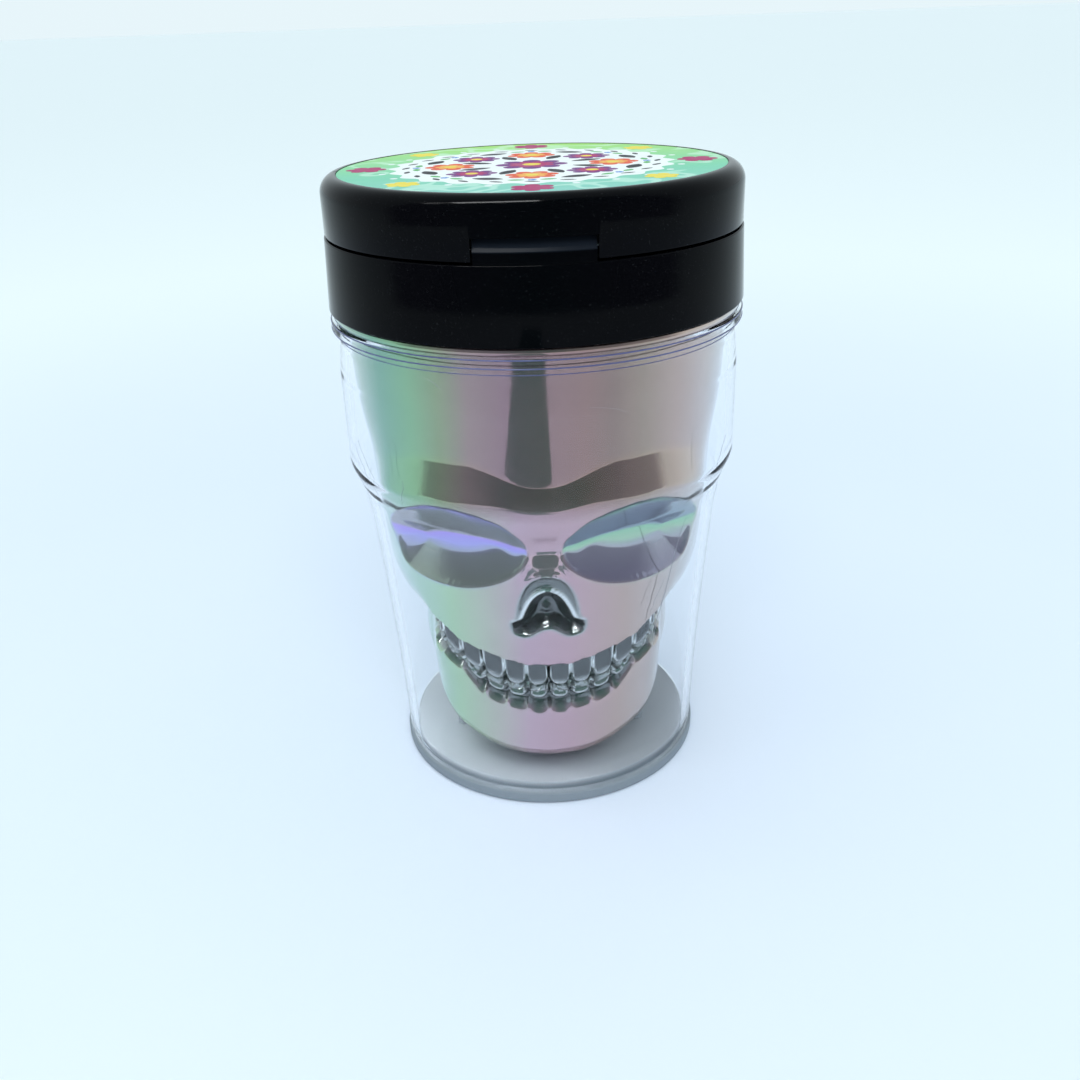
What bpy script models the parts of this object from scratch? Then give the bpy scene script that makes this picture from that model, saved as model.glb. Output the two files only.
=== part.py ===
"""Cup-holder ashtray: a clear stepped tumbler with a mirror-finish skull liner, and a screw-on flip-top lid.

Every size below is in millimetres and is scaled to metres when a mesh is made.
+Z is up, the origin is the centre of the foot, and the face looks along -Y.
"""

import math

import bmesh
import bpy
from mathutils import Matrix, Vector

MM = 0.001
GAP = 0.3  # clearance between pieces that rest on or face each other
RUNNING = 0.2  # radial clearance of pins and screws in their holes
SMALL = 1e-5  # merge distance, in metres

# ---- tumbler -------------------------------------------------------------------------------
CUP_UPPER_R = 40.2
CUP_WALL = 1.6
STEP_Z = 66.5  # height of the shoulder that stops the tumbler in a cup holder
STEP_DROP = 2.4  # how far the lower half is set in below the shoulder
CUP_FOOT_R = 33.1
CUP_BELLY = 0.55  # how far the lower half hollows between the shoulder and the foot
CUP_RIM_Z = 99.2
CUP_RIM_LIP = 0.6
CUP_RIM_T = 1.9
CUP_THROAT_IN = 0.6  # the upper half is slightly narrower right under its rim
BASE_T = 2.4
BASE_LIP = 0.4
BASE_PLUG_H = 1.6
POST_R = 1.3
POST_X = 20.0
POST_Y = 8.0

# ---- skull liner ---------------------------------------------------------------------------
LINER_WALL = 1.6
LINER_CLEAR = 0.8  # least gap between the skull and the tumbler's wall
SKULL_FOOT_Z = 5.0
LINER_FLANGE_T = 1.2
NECK_H = 10.6
NECK_WALL = 1.4

# ---- screw thread --------------------------------------------------------------------------
THREAD_PITCH = 4.0
THREAD_R = 0.8  # radius of the round thread ridges
THREAD_SINK = 0.7  # how deep a ridge is buried in its wall
NECK_TURNS = 0.75
COLLAR_TURNS = 1.0

# ---- collar and snuffer ------------------------------------------------------------------------
COLLAR_WALL = 2.5
COLLAR_DRAFT = 0.55
DECK_T = 1.8
LEDGE_W = 3.4
LEDGE_T = 0.7
SEAL_T = 1.0
BEAD_W = 0.8
LUG_W = 21.0
LUG_H = 3.9
LUG_T = 1.9
LUG_CHAMFER = 1.5
SHEET_T = 0.8
SNUFFER_THROAT_R = 13.0
SNUFFER_CONE_H = 9.8
SNUFFER_TUBE_H = 5.0

# ---- lid -----------------------------------------------------------------------------------
LID_GAP = 0.4  # the parting line between collar and lid
LID_WALL = 2.0
LID_TOP_T = 2.0
LID_EDGE_R = 3.2
LABEL_T = 0.25
LABEL_RECESS = 0.35
INNER_CAP_T = 1.6
INNER_CAP_LIFT = 1.9  # from the lid's lower edge up to the inner cap
GASKET_W = 1.6
GASKET_T = 1.1
GASKET_GROOVE = 0.8

# ---- hinge ---------------------------------------------------------------------------------
PIN_R = 1.1
BARREL_R = 2.6
BARREL_CLEAR = 0.7
KNUCKLE_HALF = 8.5
EAR_W = 4.6

# ---- light, cell and switch ----------------------------------------------------------------
CELL_R = 10.0
CELL_T = 3.2
CONTACT_T = 0.3
CONTACT_W = 4.0
DOOR_LAP = 1.4  # how far the door reaches past the cell
DOOR_T = 1.4
COIN_SLOT_L = 11.0
COIN_SLOT_W = 1.6
COIN_SLOT_D = 0.6
BOARD_W = 18.0
BOARD_L = 17.0
BOARD_T = 1.0
LED_W = 3.5
LED_T = 1.0
LENS_R = 3.4
LENS_FLANGE_W = 1.2
LENS_DOME = 1.2
PLUNGER_R = 1.1
PLUNGER_L = 4.3
PLUNGER_TRAVEL = 1.2
SWITCH_W = 6.0
SPRING_WIRE_R = 0.15
SPRING_TURNS = 3
SCREW_R = 1.05
SCREW_L = 4.6
SCREW_HEAD_R = 2.3
SCREW_HEAD_T = 1.1
BOSS_R = 2.6
BOSS_RING_R = 31.0
BOSS_ANGLES = (45.0, 135.0, 225.0, 315.0)

# ---- values that follow from the ones above ------------------------------------------------
CUP_FOOT_Z = BASE_T + GAP
CUP_LOWER_R = CUP_UPPER_R - STEP_DROP
CUP_RIM_R = CUP_UPPER_R + CUP_RIM_LIP
BASE_R = CUP_FOOT_R + BASE_LIP
COLLAR_R = CUP_RIM_R + 0.2
LINER_FLANGE_Z = CUP_RIM_Z + GAP
LINER_FLANGE_R = CUP_RIM_R - 0.5
COLLAR_Z = LINER_FLANGE_Z + LINER_FLANGE_T + GAP
COLLAR_BORE_R = COLLAR_R - COLLAR_WALL
NECK_R = COLLAR_BORE_R - THREAD_R - 2 * RUNNING - 0.1
NECK_BORE_R = NECK_R - NECK_WALL
NECK_TOP_Z = LINER_FLANGE_Z + LINER_FLANGE_T + NECK_H
SEAL_Z = NECK_TOP_Z + GAP
DECK_Z = SEAL_Z + SEAL_T + GAP
COLLAR_TOP_Z = DECK_Z + DECK_T
COLLAR_TOP_R = COLLAR_R - COLLAR_DRAFT
DECK_BORE_R = NECK_BORE_R - 1.5
LEDGE_BORE_R = DECK_BORE_R - LEDGE_W
LID_Z = COLLAR_TOP_Z + LID_GAP
LID_R = COLLAR_TOP_R - 0.15
INNER_CAP_Z = LID_Z + INNER_CAP_LIFT
INNER_CAP_TOP_Z = INNER_CAP_Z + INNER_CAP_T
INNER_CAP_R = LID_R - LID_WALL - GAP
CELL_Z = INNER_CAP_TOP_Z + CONTACT_T + 0.2
DOOR_R = CELL_R + DOOR_LAP
CELL_Y = LENS_R + LENS_FLANGE_W + 0.7 + GAP + DOOR_R
BOARD_Y = CELL_Y - CELL_R - 2.0 - BOARD_L / 2
CEILING_Z = CELL_Z + CELL_T + CONTACT_T + 1.1
LID_TOP_Z = CEILING_Z + LID_TOP_T
LABEL_R = LID_R - LID_EDGE_R
BEAD_R = INNER_CAP_R - 1.4
BEAD_H = LID_GAP + INNER_CAP_LIFT - (GASKET_T - GASKET_GROOVE + 0.1) - GAP
PIN_Y = COLLAR_TOP_R + BARREL_CLEAR + BARREL_R
PIN_Z = (COLLAR_TOP_Z + LID_Z) / 2
SNUFFER_R = DECK_BORE_R - GAP
SNUFFER_Z = DECK_Z + LEDGE_T + GAP
PLUNGER_Y = -(LEDGE_BORE_R + SNUFFER_R) / 2
SWITCH_Z = INNER_CAP_TOP_Z + 0.2

CUP_STEPS = 48
FINE_STEPS = 36
PIN_STEPS = 20

# Skull radii as shares of its top radius, against height as a share of its full height.
SIDE_PROFILE = (
    (0.00, 0.655), (0.06, 0.690), (0.12, 0.714), (0.20, 0.722), (0.265, 0.716), (0.295, 0.765),
    (0.33, 0.805), (0.385, 0.868), (0.43, 0.897), (0.52, 0.912), (0.62, 0.934), (0.75, 0.954),
    (0.85, 0.980), (1.00, 1.000),
)
FRONT_PROFILE = (
    (0.00, 0.745), (0.06, 0.768), (0.12, 0.800), (0.22, 0.820), (0.29, 0.848), (0.36, 0.880),
    (0.45, 0.920), (0.52, 0.925), (0.62, 0.934), (0.75, 0.954), (0.85, 0.980), (1.00, 1.000),
)
JAW_TURN_Z = 14.0  # below this height the jaw curves in to its underside
SKULL_ROWS = 27
DOME_ROWS = 4


def clear_scene():
    """Removes what the startup scene holds."""
    for obj in list(bpy.data.objects):
        bpy.data.objects.remove(obj)


def collection(name, hidden=False):
    """A new collection in the scene."""
    made = bpy.data.collections.new(name)
    bpy.context.scene.collection.children.link(made)
    made.hide_render = hidden
    return made


def material(name, color, roughness, metallic=0.0, alpha=1.0):
    """A Principled material."""
    made = bpy.data.materials.new(name)
    made.use_nodes = True
    shader = made.node_tree.nodes["Principled BSDF"]
    shader.inputs["Base Color"].default_value = (*color, 1.0)
    shader.inputs["Roughness"].default_value = roughness
    shader.inputs["Metallic"].default_value = metallic
    shader.inputs["Alpha"].default_value = alpha
    made.diffuse_color = (*color, alpha)
    return made


def add(name, mesh, into, finish=None):
    """An object for this mesh, in that collection."""
    obj = bpy.data.objects.new(name, mesh)
    into.objects.link(obj)
    if finish:
        mesh.materials.append(finish)
    if into.hide_render:
        obj.hide_render = True
        obj.display_type = "WIRE"
    return obj


def mesh_of(name, bm):
    """Turns a bmesh into a mesh with outward faces."""
    bmesh.ops.recalc_face_normals(bm, faces=bm.faces)
    mesh = bpy.data.meshes.new(name)
    bm.to_mesh(mesh)
    bm.free()
    return mesh


def turned(name, profile, into, finish=None, steps=CUP_STEPS, closed=True):
    """A profile of (radius, height) points swept round Z. It runs down its outer side."""
    bm = bmesh.new()
    points = [bm.verts.new((r * MM, 0.0, z * MM)) for r, z in profile]
    for a, b in zip(points, points[1:]):
        bm.edges.new((a, b))
    if closed:
        bm.edges.new((points[-1], points[0]))
    mesh = bpy.data.meshes.new(name)
    bm.to_mesh(mesh)
    bm.free()
    obj = add(name, mesh, into, finish)
    screw = obj.modifiers.new("turn", "SCREW")
    screw.steps = steps
    screw.render_steps = steps
    screw.use_merge_vertices = True
    screw.merge_threshold = SMALL
    return obj


def tube_profile(outer_r, inner_r, z0, z1):
    """The profile of a plain ring."""
    return [(inner_r, z1), (outer_r, z1), (outer_r, z0), (inner_r, z0)]


def box(name, low, high, into, finish=None):
    """A box between two corners."""
    bm = bmesh.new()
    size = [(h - l) * MM for l, h in zip(low, high)]
    centre = Vector([(h + l) / 2 * MM for l, h in zip(low, high)])
    bmesh.ops.create_cube(bm, size=1.0, matrix=Matrix.Translation(centre) @ Matrix.Diagonal((*size, 1.0)))
    return add(name, mesh_of(name, bm), into, finish)


def rod(name, radius, start, end, into, finish=None, steps=PIN_STEPS, top_radius=None):
    """A round bar or a cone from start to end."""
    a, b = Vector(start) * MM, Vector(end) * MM
    turn = (b - a).to_track_quat("Z", "X").to_matrix().to_4x4()
    bm = bmesh.new()
    bmesh.ops.create_cone(
        bm,
        cap_ends=True,
        segments=steps,
        radius1=radius * MM,
        radius2=(radius if top_radius is None else top_radius) * MM,
        depth=(b - a).length,
        matrix=Matrix.Translation((a + b) / 2) @ turn,
    )
    return add(name, mesh_of(name, bm), into, finish)


def combine(obj, other, operation):
    """Adds a Boolean with another mesh object."""
    boolean = obj.modifiers.new(operation.lower(), "BOOLEAN")
    boolean.operation = operation
    boolean.object = other
    return boolean


def helix(name, radius, z0, turns, wire_r, into, finish=None, pitch=THREAD_PITCH, per_turn=32, sides=1):
    """A round wire along a right-handed helix, as a mesh with welded caps."""
    curve = bpy.data.curves.new(name, "CURVE")
    curve.dimensions = "3D"
    curve.bevel_depth = wire_r * MM
    curve.bevel_resolution = sides
    curve.use_fill_caps = True
    count = round(turns * per_turn) + 1
    spline = curve.splines.new("POLY")
    spline.points.add(count - 1)
    for i, point in enumerate(spline.points):
        angle = math.tau * i / per_turn
        height = z0 + pitch * i / per_turn
        point.co = (radius * math.cos(angle) * MM, radius * math.sin(angle) * MM, height * MM, 1.0)
    guide = bpy.data.objects.new(name + "_guide", curve)
    into.objects.link(guide)
    bpy.context.view_layer.update()
    graph = bpy.context.evaluated_depsgraph_get()
    mesh = bpy.data.meshes.new_from_object(guide.evaluated_get(graph))
    bpy.data.objects.remove(guide)
    bm = bmesh.new()
    bm.from_mesh(mesh)
    bmesh.ops.remove_doubles(bm, verts=bm.verts, dist=SMALL / 10)
    bmesh.ops.recalc_face_normals(bm, faces=bm.faces)
    bm.to_mesh(mesh)
    bm.free()
    mesh.name = name
    return add(name, mesh, into, finish)


# ---- tumbler -------------------------------------------------------------------------------
def cup_radius(z):
    """Outer radius of the tumbler at a height, with the hollow of its lower half."""
    if z >= STEP_Z:
        return CUP_UPPER_R
    share = max(0.0, (z - CUP_FOOT_Z) / (STEP_Z - CUP_FOOT_Z))
    straight = CUP_FOOT_R + (CUP_LOWER_R - CUP_FOOT_R) * share
    return straight - CUP_BELLY * 4 * share * (1 - share)


def make_outer_cup(parts, clear):
    """The clear shell: a rim, a straight upper half, a shoulder and a tapered lower half."""
    lower = [CUP_FOOT_Z + (STEP_Z - 1.8 - CUP_FOOT_Z) * i / 5 for i in range(6)]
    under_rim = CUP_RIM_Z - CUP_RIM_T
    outer = [
        (CUP_RIM_R - 0.3, CUP_RIM_Z),
        (CUP_RIM_R, CUP_RIM_Z - 0.4),
        (CUP_RIM_R, under_rim + 0.4),
        (CUP_UPPER_R - CUP_THROAT_IN, under_rim),
        (CUP_UPPER_R - CUP_THROAT_IN, under_rim - 3.0),
        (CUP_UPPER_R, under_rim - 9.0),
        (CUP_UPPER_R, STEP_Z + 0.8),
        (CUP_UPPER_R - 0.8, STEP_Z),
        (CUP_LOWER_R + 0.3, STEP_Z - 0.6),
    ]
    outer += [(cup_radius(z), z) for z in reversed(lower)]
    inner = [(cup_radius(z) - CUP_WALL, z) for z in lower]
    inner += [
        (CUP_LOWER_R - CUP_WALL + 0.3, STEP_Z - 0.6 + CUP_WALL),
        (CUP_UPPER_R - CUP_WALL - 0.4, STEP_Z + CUP_WALL + 0.4),
        (CUP_UPPER_R - CUP_WALL, under_rim - 9.0),
        (CUP_UPPER_R - CUP_THROAT_IN - CUP_WALL, under_rim - 3.0),
        (CUP_UPPER_R - CUP_THROAT_IN - CUP_WALL, CUP_RIM_Z),
    ]
    return turned("outer_cup", outer + inner, parts, clear)


def make_base_cap(parts, white, cutters):
    """The white disc that closes the tumbler's foot, with four posts under the jaw."""
    plug_r = cup_radius(CUP_FOOT_Z) - CUP_WALL - GAP
    profile = [
        (0.0, BASE_T + BASE_PLUG_H),
        (plug_r, BASE_T + BASE_PLUG_H),
        (plug_r, BASE_T),
        (BASE_R - 0.3, BASE_T),
        (BASE_R, BASE_T - 0.3),
        (BASE_R, 0.0),
        (0.0, 0.0),
    ]
    base = turned("base_cap", profile, parts, white, closed=False)
    for i, (sx, sy) in enumerate(((1, -1), (-1, -1), (1, 1), (-1, 1))):
        angle = math.atan2(sx * POST_X, -sy * POST_Y)
        top = jaw_underside(math.hypot(POST_X, POST_Y) - POST_R - 1.0, angle) - GAP
        start = (sx * POST_X, sy * POST_Y, BASE_T)
        end = (sx * POST_X, sy * POST_Y, max(top, BASE_T + BASE_PLUG_H + 0.5))
        combine(base, rod(f"post_{i}", POST_R, start, end, cutters, steps=10), "UNION")
    return base


# ---- skull ---------------------------------------------------------------------------------
def smooth(edge0, edge1, value):
    """A smooth step from 0 at edge0 to 1 at edge1."""
    t = min(1.0, max(0.0, (value - edge0) / (edge1 - edge0)))
    return t * t * (3 - 2 * t)


def along(profile, share):
    """The value of a profile of (share, value) points, eased between them."""
    for (s0, v0), (s1, v1) in zip(profile, profile[1:]):
        if share <= s1:
            return v0 + (v1 - v0) * (share - s0) / (s1 - s0)
    return profile[-1][1]


def blob(u, v, power=2.0):
    """A bump of height 1 that falls to 0 at the unit ellipse."""
    d = abs(u) ** power + abs(v) ** power
    return (1 - d) ** 2 if d < 1 else 0.0


def features(angle, height):
    """Relief of the face in mm: angle in degrees from the front, height on a skull 95 mm tall."""
    side = abs(angle)
    relief = 0.0
    brow_top = 74.0 + 3.6 * smooth(4, 40, side)
    brow_low = 68.4 + 1.5 * smooth(5, 35, side)
    face = 1 - smooth(58, 74, side)
    ridge = 1 - smooth(brow_low, brow_top, height)
    relief += 1.7 * face * ridge * smooth(brow_low - 14, brow_low - 1, height)
    relief -= 0.9 * face * blob((height - brow_top) / 6, 0)
    lean = (side - 34) * 0.075
    relief -= 5.6 * blob((side - 35) / 32, (height - 59 - lean) / 10.2, 2.3)
    relief += 1.2 * blob(angle / 9, (height - 55.5) / 5)
    nose_half = 11.5 + 2.5 * smooth(48, 41, height)
    relief -= 3.0 * blob(angle / nose_half, (height - 45.5) / 8.2, 3.0)
    mouth = 31.0 + 0.0042 * side * side
    relief -= 1.6 * blob(side / 58, (height - mouth) / 11.0, 4.0)
    for row, lift, tall in ((0, 3.6, 4.8), (1, -4.4, 3.9)):
        for tooth in range(5):
            at = 5.0 + 9.3 * tooth + 1.5 * row * (tooth > 0)
            relief += 1.9 * blob((side - at) / 5.0, (height - mouth - lift) / tall, 2.6)
    relief -= 1.6 * blob((side - 52) / 7, (height - 39) / 6)
    return relief


def skull_radius(angle, z):
    """Outer radius of the skull liner. angle is in radians from the front, and turns towards +X."""
    tall = LINER_FLANGE_Z - SKULL_FOOT_Z
    share = (z - SKULL_FOOT_Z) / tall
    degrees = math.degrees(angle)
    degrees = (degrees + 180) % 360 - 180
    front = 1 - smooth(44, 66, abs(degrees))
    top_r = CUP_UPPER_R - CUP_WALL - 1.1
    radius = top_r * (along(SIDE_PROFILE, share) * (1 - front) + along(FRONT_PROFILE, share) * front)
    radius += features(degrees, 5.0 + 94.5 * share) * top_r / 37.5
    inner = cup_radius(z) - CUP_WALL - LINER_CLEAR
    if z > STEP_Z - 4:
        inner = max(inner, 0.0) if z > STEP_Z + 3 else min(inner, CUP_LOWER_R - CUP_WALL - LINER_CLEAR)
    if z > CUP_RIM_Z - CUP_RIM_T - 9:
        inner = CUP_UPPER_R - CUP_THROAT_IN - CUP_WALL - 0.5
    return min(radius, inner)


def dome_point(angle, turn, wall):
    """A point (radius, height) of the jaw's underside, turn 0 at its edge and 1 at the middle."""
    front = 1 - smooth(30, 75, abs((math.degrees(angle) + 180) % 360 - 180))
    power = 2 / (2.2 + 1.6 * front)
    edge_r = skull_radius(angle, JAW_TURN_Z) - wall
    drop = JAW_TURN_Z - SKULL_FOOT_Z - wall
    t = turn * math.pi / 2
    return edge_r * math.cos(t) ** power, JAW_TURN_Z - drop * math.sin(t) ** power


def jaw_underside(radius, angle):
    """Height of the jaw's underside at a distance from the axis."""
    best = SKULL_FOOT_Z
    for i in range(60):
        r, z = dome_point(angle, i / 60, 0.0)
        if r >= radius:
            best = z
    return best


def ring(bm, radius_at, z_at, count):
    """A ring of vertices, starting at the front and turning towards +X."""
    made = []
    for i in range(count):
        angle = math.tau * i / count
        r, z = radius_at(angle), z_at(angle)
        made.append(bm.verts.new((r * math.sin(angle) * MM, -r * math.cos(angle) * MM, z * MM)))
    return made


def skin(bm, rings):
    """Quads between each ring and the next."""
    for low, high in zip(rings, rings[1:]):
        count = len(low)
        for i in range(count):
            j = (i + 1) % count
            bm.faces.new((low[i], low[j], high[j], high[i]))


def skull_wall(bm, wall):
    """Rings of one skin of the skull, from its underside up, and the middle vertex of the underside."""
    count = CUP_STEPS
    rings = []
    for row in range(DOME_ROWS, 0, -1):
        turn = row / (DOME_ROWS + 0.6)
        rings.append(
            ring(bm, lambda a: dome_point(a, turn, wall)[0], lambda a: dome_point(a, turn, wall)[1], count)
        )
    top = LINER_FLANGE_Z
    for row in range(SKULL_ROWS):
        z = JAW_TURN_Z + (top - JAW_TURN_Z) * row / (SKULL_ROWS - 1)
        rings.append(ring(bm, lambda a: skull_radius(a, z) - wall, lambda a: z, count))
    middle = bm.verts.new((0.0, 0.0, (SKULL_FOOT_Z + wall) * MM))
    for i in range(count):
        bm.faces.new((rings[0][i], middle, rings[0][(i + 1) % count]))
    return rings


def make_skull_liner(parts, pearl, cutters):
    """The skull-shaped inner cup, with a flange that rests on the tumbler and a threaded neck."""
    bm = bmesh.new()
    flange_top = LINER_FLANGE_Z + LINER_FLANGE_T
    outer = skull_wall(bm, 0.0)
    for r, z in (
        (LINER_FLANGE_R, LINER_FLANGE_Z),
        (LINER_FLANGE_R, flange_top),
        (NECK_R, flange_top),
        (NECK_R, NECK_TOP_Z),
        (NECK_BORE_R, NECK_TOP_Z),
        (NECK_BORE_R, flange_top + 0.6),
    ):
        outer.append(ring(bm, lambda a: r, lambda a: z, CUP_STEPS))
    inner = skull_wall(bm, LINER_WALL)
    skin(bm, outer + inner[::-1])
    liner = add("skull_liner", mesh_of("skull_liner", bm), parts, pearl)
    start = flange_top + THREAD_R + 2.5
    centre = NECK_R + THREAD_R - THREAD_SINK
    combine(liner, helix("neck_thread", centre, start, NECK_TURNS, THREAD_R, cutters), "UNION")
    return liner


# ---- collar --------------------------------------------------------------------------------
def make_collar(parts, black, cutters):
    """The threaded ring, with its deck, sealing bead, front lug and hinge ears."""
    profile = [
        (DECK_BORE_R, COLLAR_TOP_Z),
        (BEAD_R - BEAD_W / 2, COLLAR_TOP_Z),
        (BEAD_R - BEAD_W / 2, COLLAR_TOP_Z + BEAD_H),
        (BEAD_R + BEAD_W / 2, COLLAR_TOP_Z + BEAD_H),
        (BEAD_R + BEAD_W / 2, COLLAR_TOP_Z),
        (COLLAR_TOP_R, COLLAR_TOP_Z),
        (COLLAR_R, COLLAR_Z + 0.4),
        (COLLAR_R - 0.3, COLLAR_Z),
        (COLLAR_BORE_R, COLLAR_Z),
        (COLLAR_BORE_R, DECK_Z),
        (LEDGE_BORE_R, DECK_Z),
        (LEDGE_BORE_R, DECK_Z + LEDGE_T),
        (DECK_BORE_R, DECK_Z + LEDGE_T),
    ]
    collar = turned("collar", profile, parts, black)
    start = LINER_FLANGE_Z + LINER_FLANGE_T + THREAD_R + 2.5 - THREAD_PITCH / 2
    centre = COLLAR_BORE_R - THREAD_R + THREAD_SINK
    combine(collar, helix("collar_thread", centre, start, COLLAR_TURNS, THREAD_R, cutters), "UNION")

    lug_r = LID_R - 0.05
    lug_top = LID_Z + LUG_H - GAP
    rim = [
        (lug_r - LUG_T, lug_top),
        (lug_r - LUG_CHAMFER, lug_top),
        (lug_r, lug_top - LUG_CHAMFER),
        (lug_r, DECK_Z + DECK_T / 2),
        (lug_r - LUG_T, DECK_Z + DECK_T / 2),
    ]
    lug = turned("lug", rim, cutters)
    half = LUG_W / 2 - GAP
    window = box("lug_window", (-half, -2 * LID_R, 0), (half, 0, 2 * lug_top), cutters)
    combine(lug, window, "INTERSECT")
    combine(collar, lug, "UNION")

    for side in (-1, 1):
        x0, x1 = sorted((side * (KNUCKLE_HALF + GAP), side * (KNUCKLE_HALF + GAP + EAR_W)))
        name = "left" if side < 0 else "right"
        barrel = rod(f"{name}_ear", BARREL_R, (x0, PIN_Y, PIN_Z), (x1, PIN_Y, PIN_Z), cutters)
        low = (x0, COLLAR_TOP_R - 2.9, DECK_Z - 1.2)
        high = (x1, PIN_Y, COLLAR_TOP_Z - 0.1)
        combine(collar, box(f"{name}_ear_web", low, high, cutters), "UNION")
        combine(collar, barrel, "UNION")
    reach = 2 * (KNUCKLE_HALF + EAR_W)
    bore = rod("ear_bore", PIN_R + RUNNING, (-reach, PIN_Y, PIN_Z), (reach, PIN_Y, PIN_Z), cutters)
    combine(collar, bore, "DIFFERENCE")
    return collar


def make_snuffer(parts, steel):
    """The sheet-metal funnel that rests on the collar's ledge and puts the embers out."""
    cone_top_r = LEDGE_BORE_R - GAP
    top = SNUFFER_Z + SHEET_T
    waist = SNUFFER_Z - SNUFFER_CONE_H
    profile = [
        (cone_top_r - 0.6, top),
        (SNUFFER_R, top),
        (SNUFFER_R, SNUFFER_Z),
        (cone_top_r, SNUFFER_Z),
        (SNUFFER_THROAT_R, waist),
        (SNUFFER_THROAT_R, waist - SNUFFER_TUBE_H),
        (SNUFFER_THROAT_R - SHEET_T, waist - SNUFFER_TUBE_H),
        (SNUFFER_THROAT_R - SHEET_T, waist + 0.3),
    ]
    return turned("snuffer_funnel", profile, parts, steel, steps=FINE_STEPS)


# ---- lid -----------------------------------------------------------------------------------
def boss_places():
    """Where the four screw bosses stand."""
    ring_r = min(BOSS_RING_R, INNER_CAP_R - BOSS_R - 3.2)
    return [
        (ring_r * math.cos(math.radians(a)), ring_r * math.sin(math.radians(a))) for a in BOSS_ANGLES
    ]


def make_lid_shell(parts, black, cutters):
    """The domed outer lid: rounded edge, label recess, front notch, screw bosses and hinge knuckle."""
    profile = [(0.0, LID_TOP_Z - LABEL_RECESS), (LABEL_R, LID_TOP_Z - LABEL_RECESS), (LABEL_R, LID_TOP_Z)]
    edge_steps = 4
    for i in range(edge_steps + 1):
        t = math.pi / 2 * (1 - i / edge_steps)
        centre_r, centre_z = LID_R - LID_EDGE_R, LID_TOP_Z - LID_EDGE_R
        spot = (centre_r + 0.25 + (LID_EDGE_R - 0.25) * math.cos(t), centre_z + LID_EDGE_R * math.sin(t))
        profile.append(spot)
    inside = LID_R - LID_WALL
    profile += [
        (LID_R, LID_Z + 0.3),
        (LID_R - 0.3, LID_Z),
        (inside, LID_Z),
        (inside, CEILING_Z - 1.5),
        (inside - 1.5, CEILING_Z),
        (0.0, CEILING_Z),
    ]
    lid = turned("lid_shell", profile, parts, black, closed=False)
    for i, (x, y) in enumerate(boss_places()):
        low, high = (x, y, INNER_CAP_TOP_Z + GAP), (x, y, CEILING_Z + 0.8)
        combine(lid, rod(f"boss_{i}", BOSS_R, low, high, cutters, steps=14), "UNION")
        low, high = (x, y, INNER_CAP_TOP_Z - 1), (x, y, CEILING_Z - 0.4)
        combine(lid, rod(f"pilot_{i}", SCREW_R + RUNNING, low, high, cutters, steps=12), "DIFFERENCE")
    half = LUG_W / 2
    notch = box("lid_notch", (-half, -2 * LID_R, 0), (half, -LID_R + LID_WALL + 2.3, LID_Z + LUG_H), cutters)
    combine(lid, notch, "DIFFERENCE")
    knuckle = rod(
        "knuckle", BARREL_R, (-KNUCKLE_HALF, PIN_Y, PIN_Z), (KNUCKLE_HALF, PIN_Y, PIN_Z), cutters
    )
    low = (-KNUCKLE_HALF, LID_R - LID_WALL + 0.6, LID_Z + 0.15)
    high = (KNUCKLE_HALF, PIN_Y, PIN_Z + BARREL_R - 0.1)
    combine(lid, box("knuckle_web", low, high, cutters), "UNION")
    combine(lid, knuckle, "UNION")
    reach = 2 * KNUCKLE_HALF
    bore = rod("knuckle_bore", PIN_R + RUNNING, (-reach, PIN_Y, PIN_Z), (reach, PIN_Y, PIN_Z), cutters)
    combine(lid, bore, "DIFFERENCE")
    return lid


def make_inner_cap(parts, black, cutters):
    """The plate that closes the lid's underside and carries the gasket, the lens and the battery door."""
    groove_in, groove_out = BEAD_R - GASKET_W / 2 - RUNNING, BEAD_R + GASKET_W / 2 + RUNNING
    profile = [
        (0.0, INNER_CAP_TOP_Z),
        (INNER_CAP_R, INNER_CAP_TOP_Z),
        (INNER_CAP_R, INNER_CAP_Z),
        (groove_out, INNER_CAP_Z),
        (groove_out, INNER_CAP_Z + GASKET_GROOVE),
        (groove_in, INNER_CAP_Z + GASKET_GROOVE),
        (groove_in, INNER_CAP_Z),
        (0.0, INNER_CAP_Z),
    ]
    cap = turned("lid_inner_cap", profile, parts, black, steps=FINE_STEPS, closed=False)
    low, high = INNER_CAP_Z - 1, INNER_CAP_TOP_Z + 1
    holes = [("door_hole", DOOR_R + GAP, 0.0, CELL_Y, FINE_STEPS), ("lens_hole", LENS_R + RUNNING, 0.0, 0.0, 16)]
    holes.append(("plunger_hole", PLUNGER_R + RUNNING + 0.1, 0.0, PLUNGER_Y, 12))
    holes += [(f"screw_hole_{i}", SCREW_R + RUNNING + 0.1, x, y, 12) for i, (x, y) in enumerate(boss_places())]
    for name, r, x, y, steps in holes:
        combine(cap, rod(name, r, (x, y, low), (x, y, high), cutters, steps=steps), "DIFFERENCE")
    return cap


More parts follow.
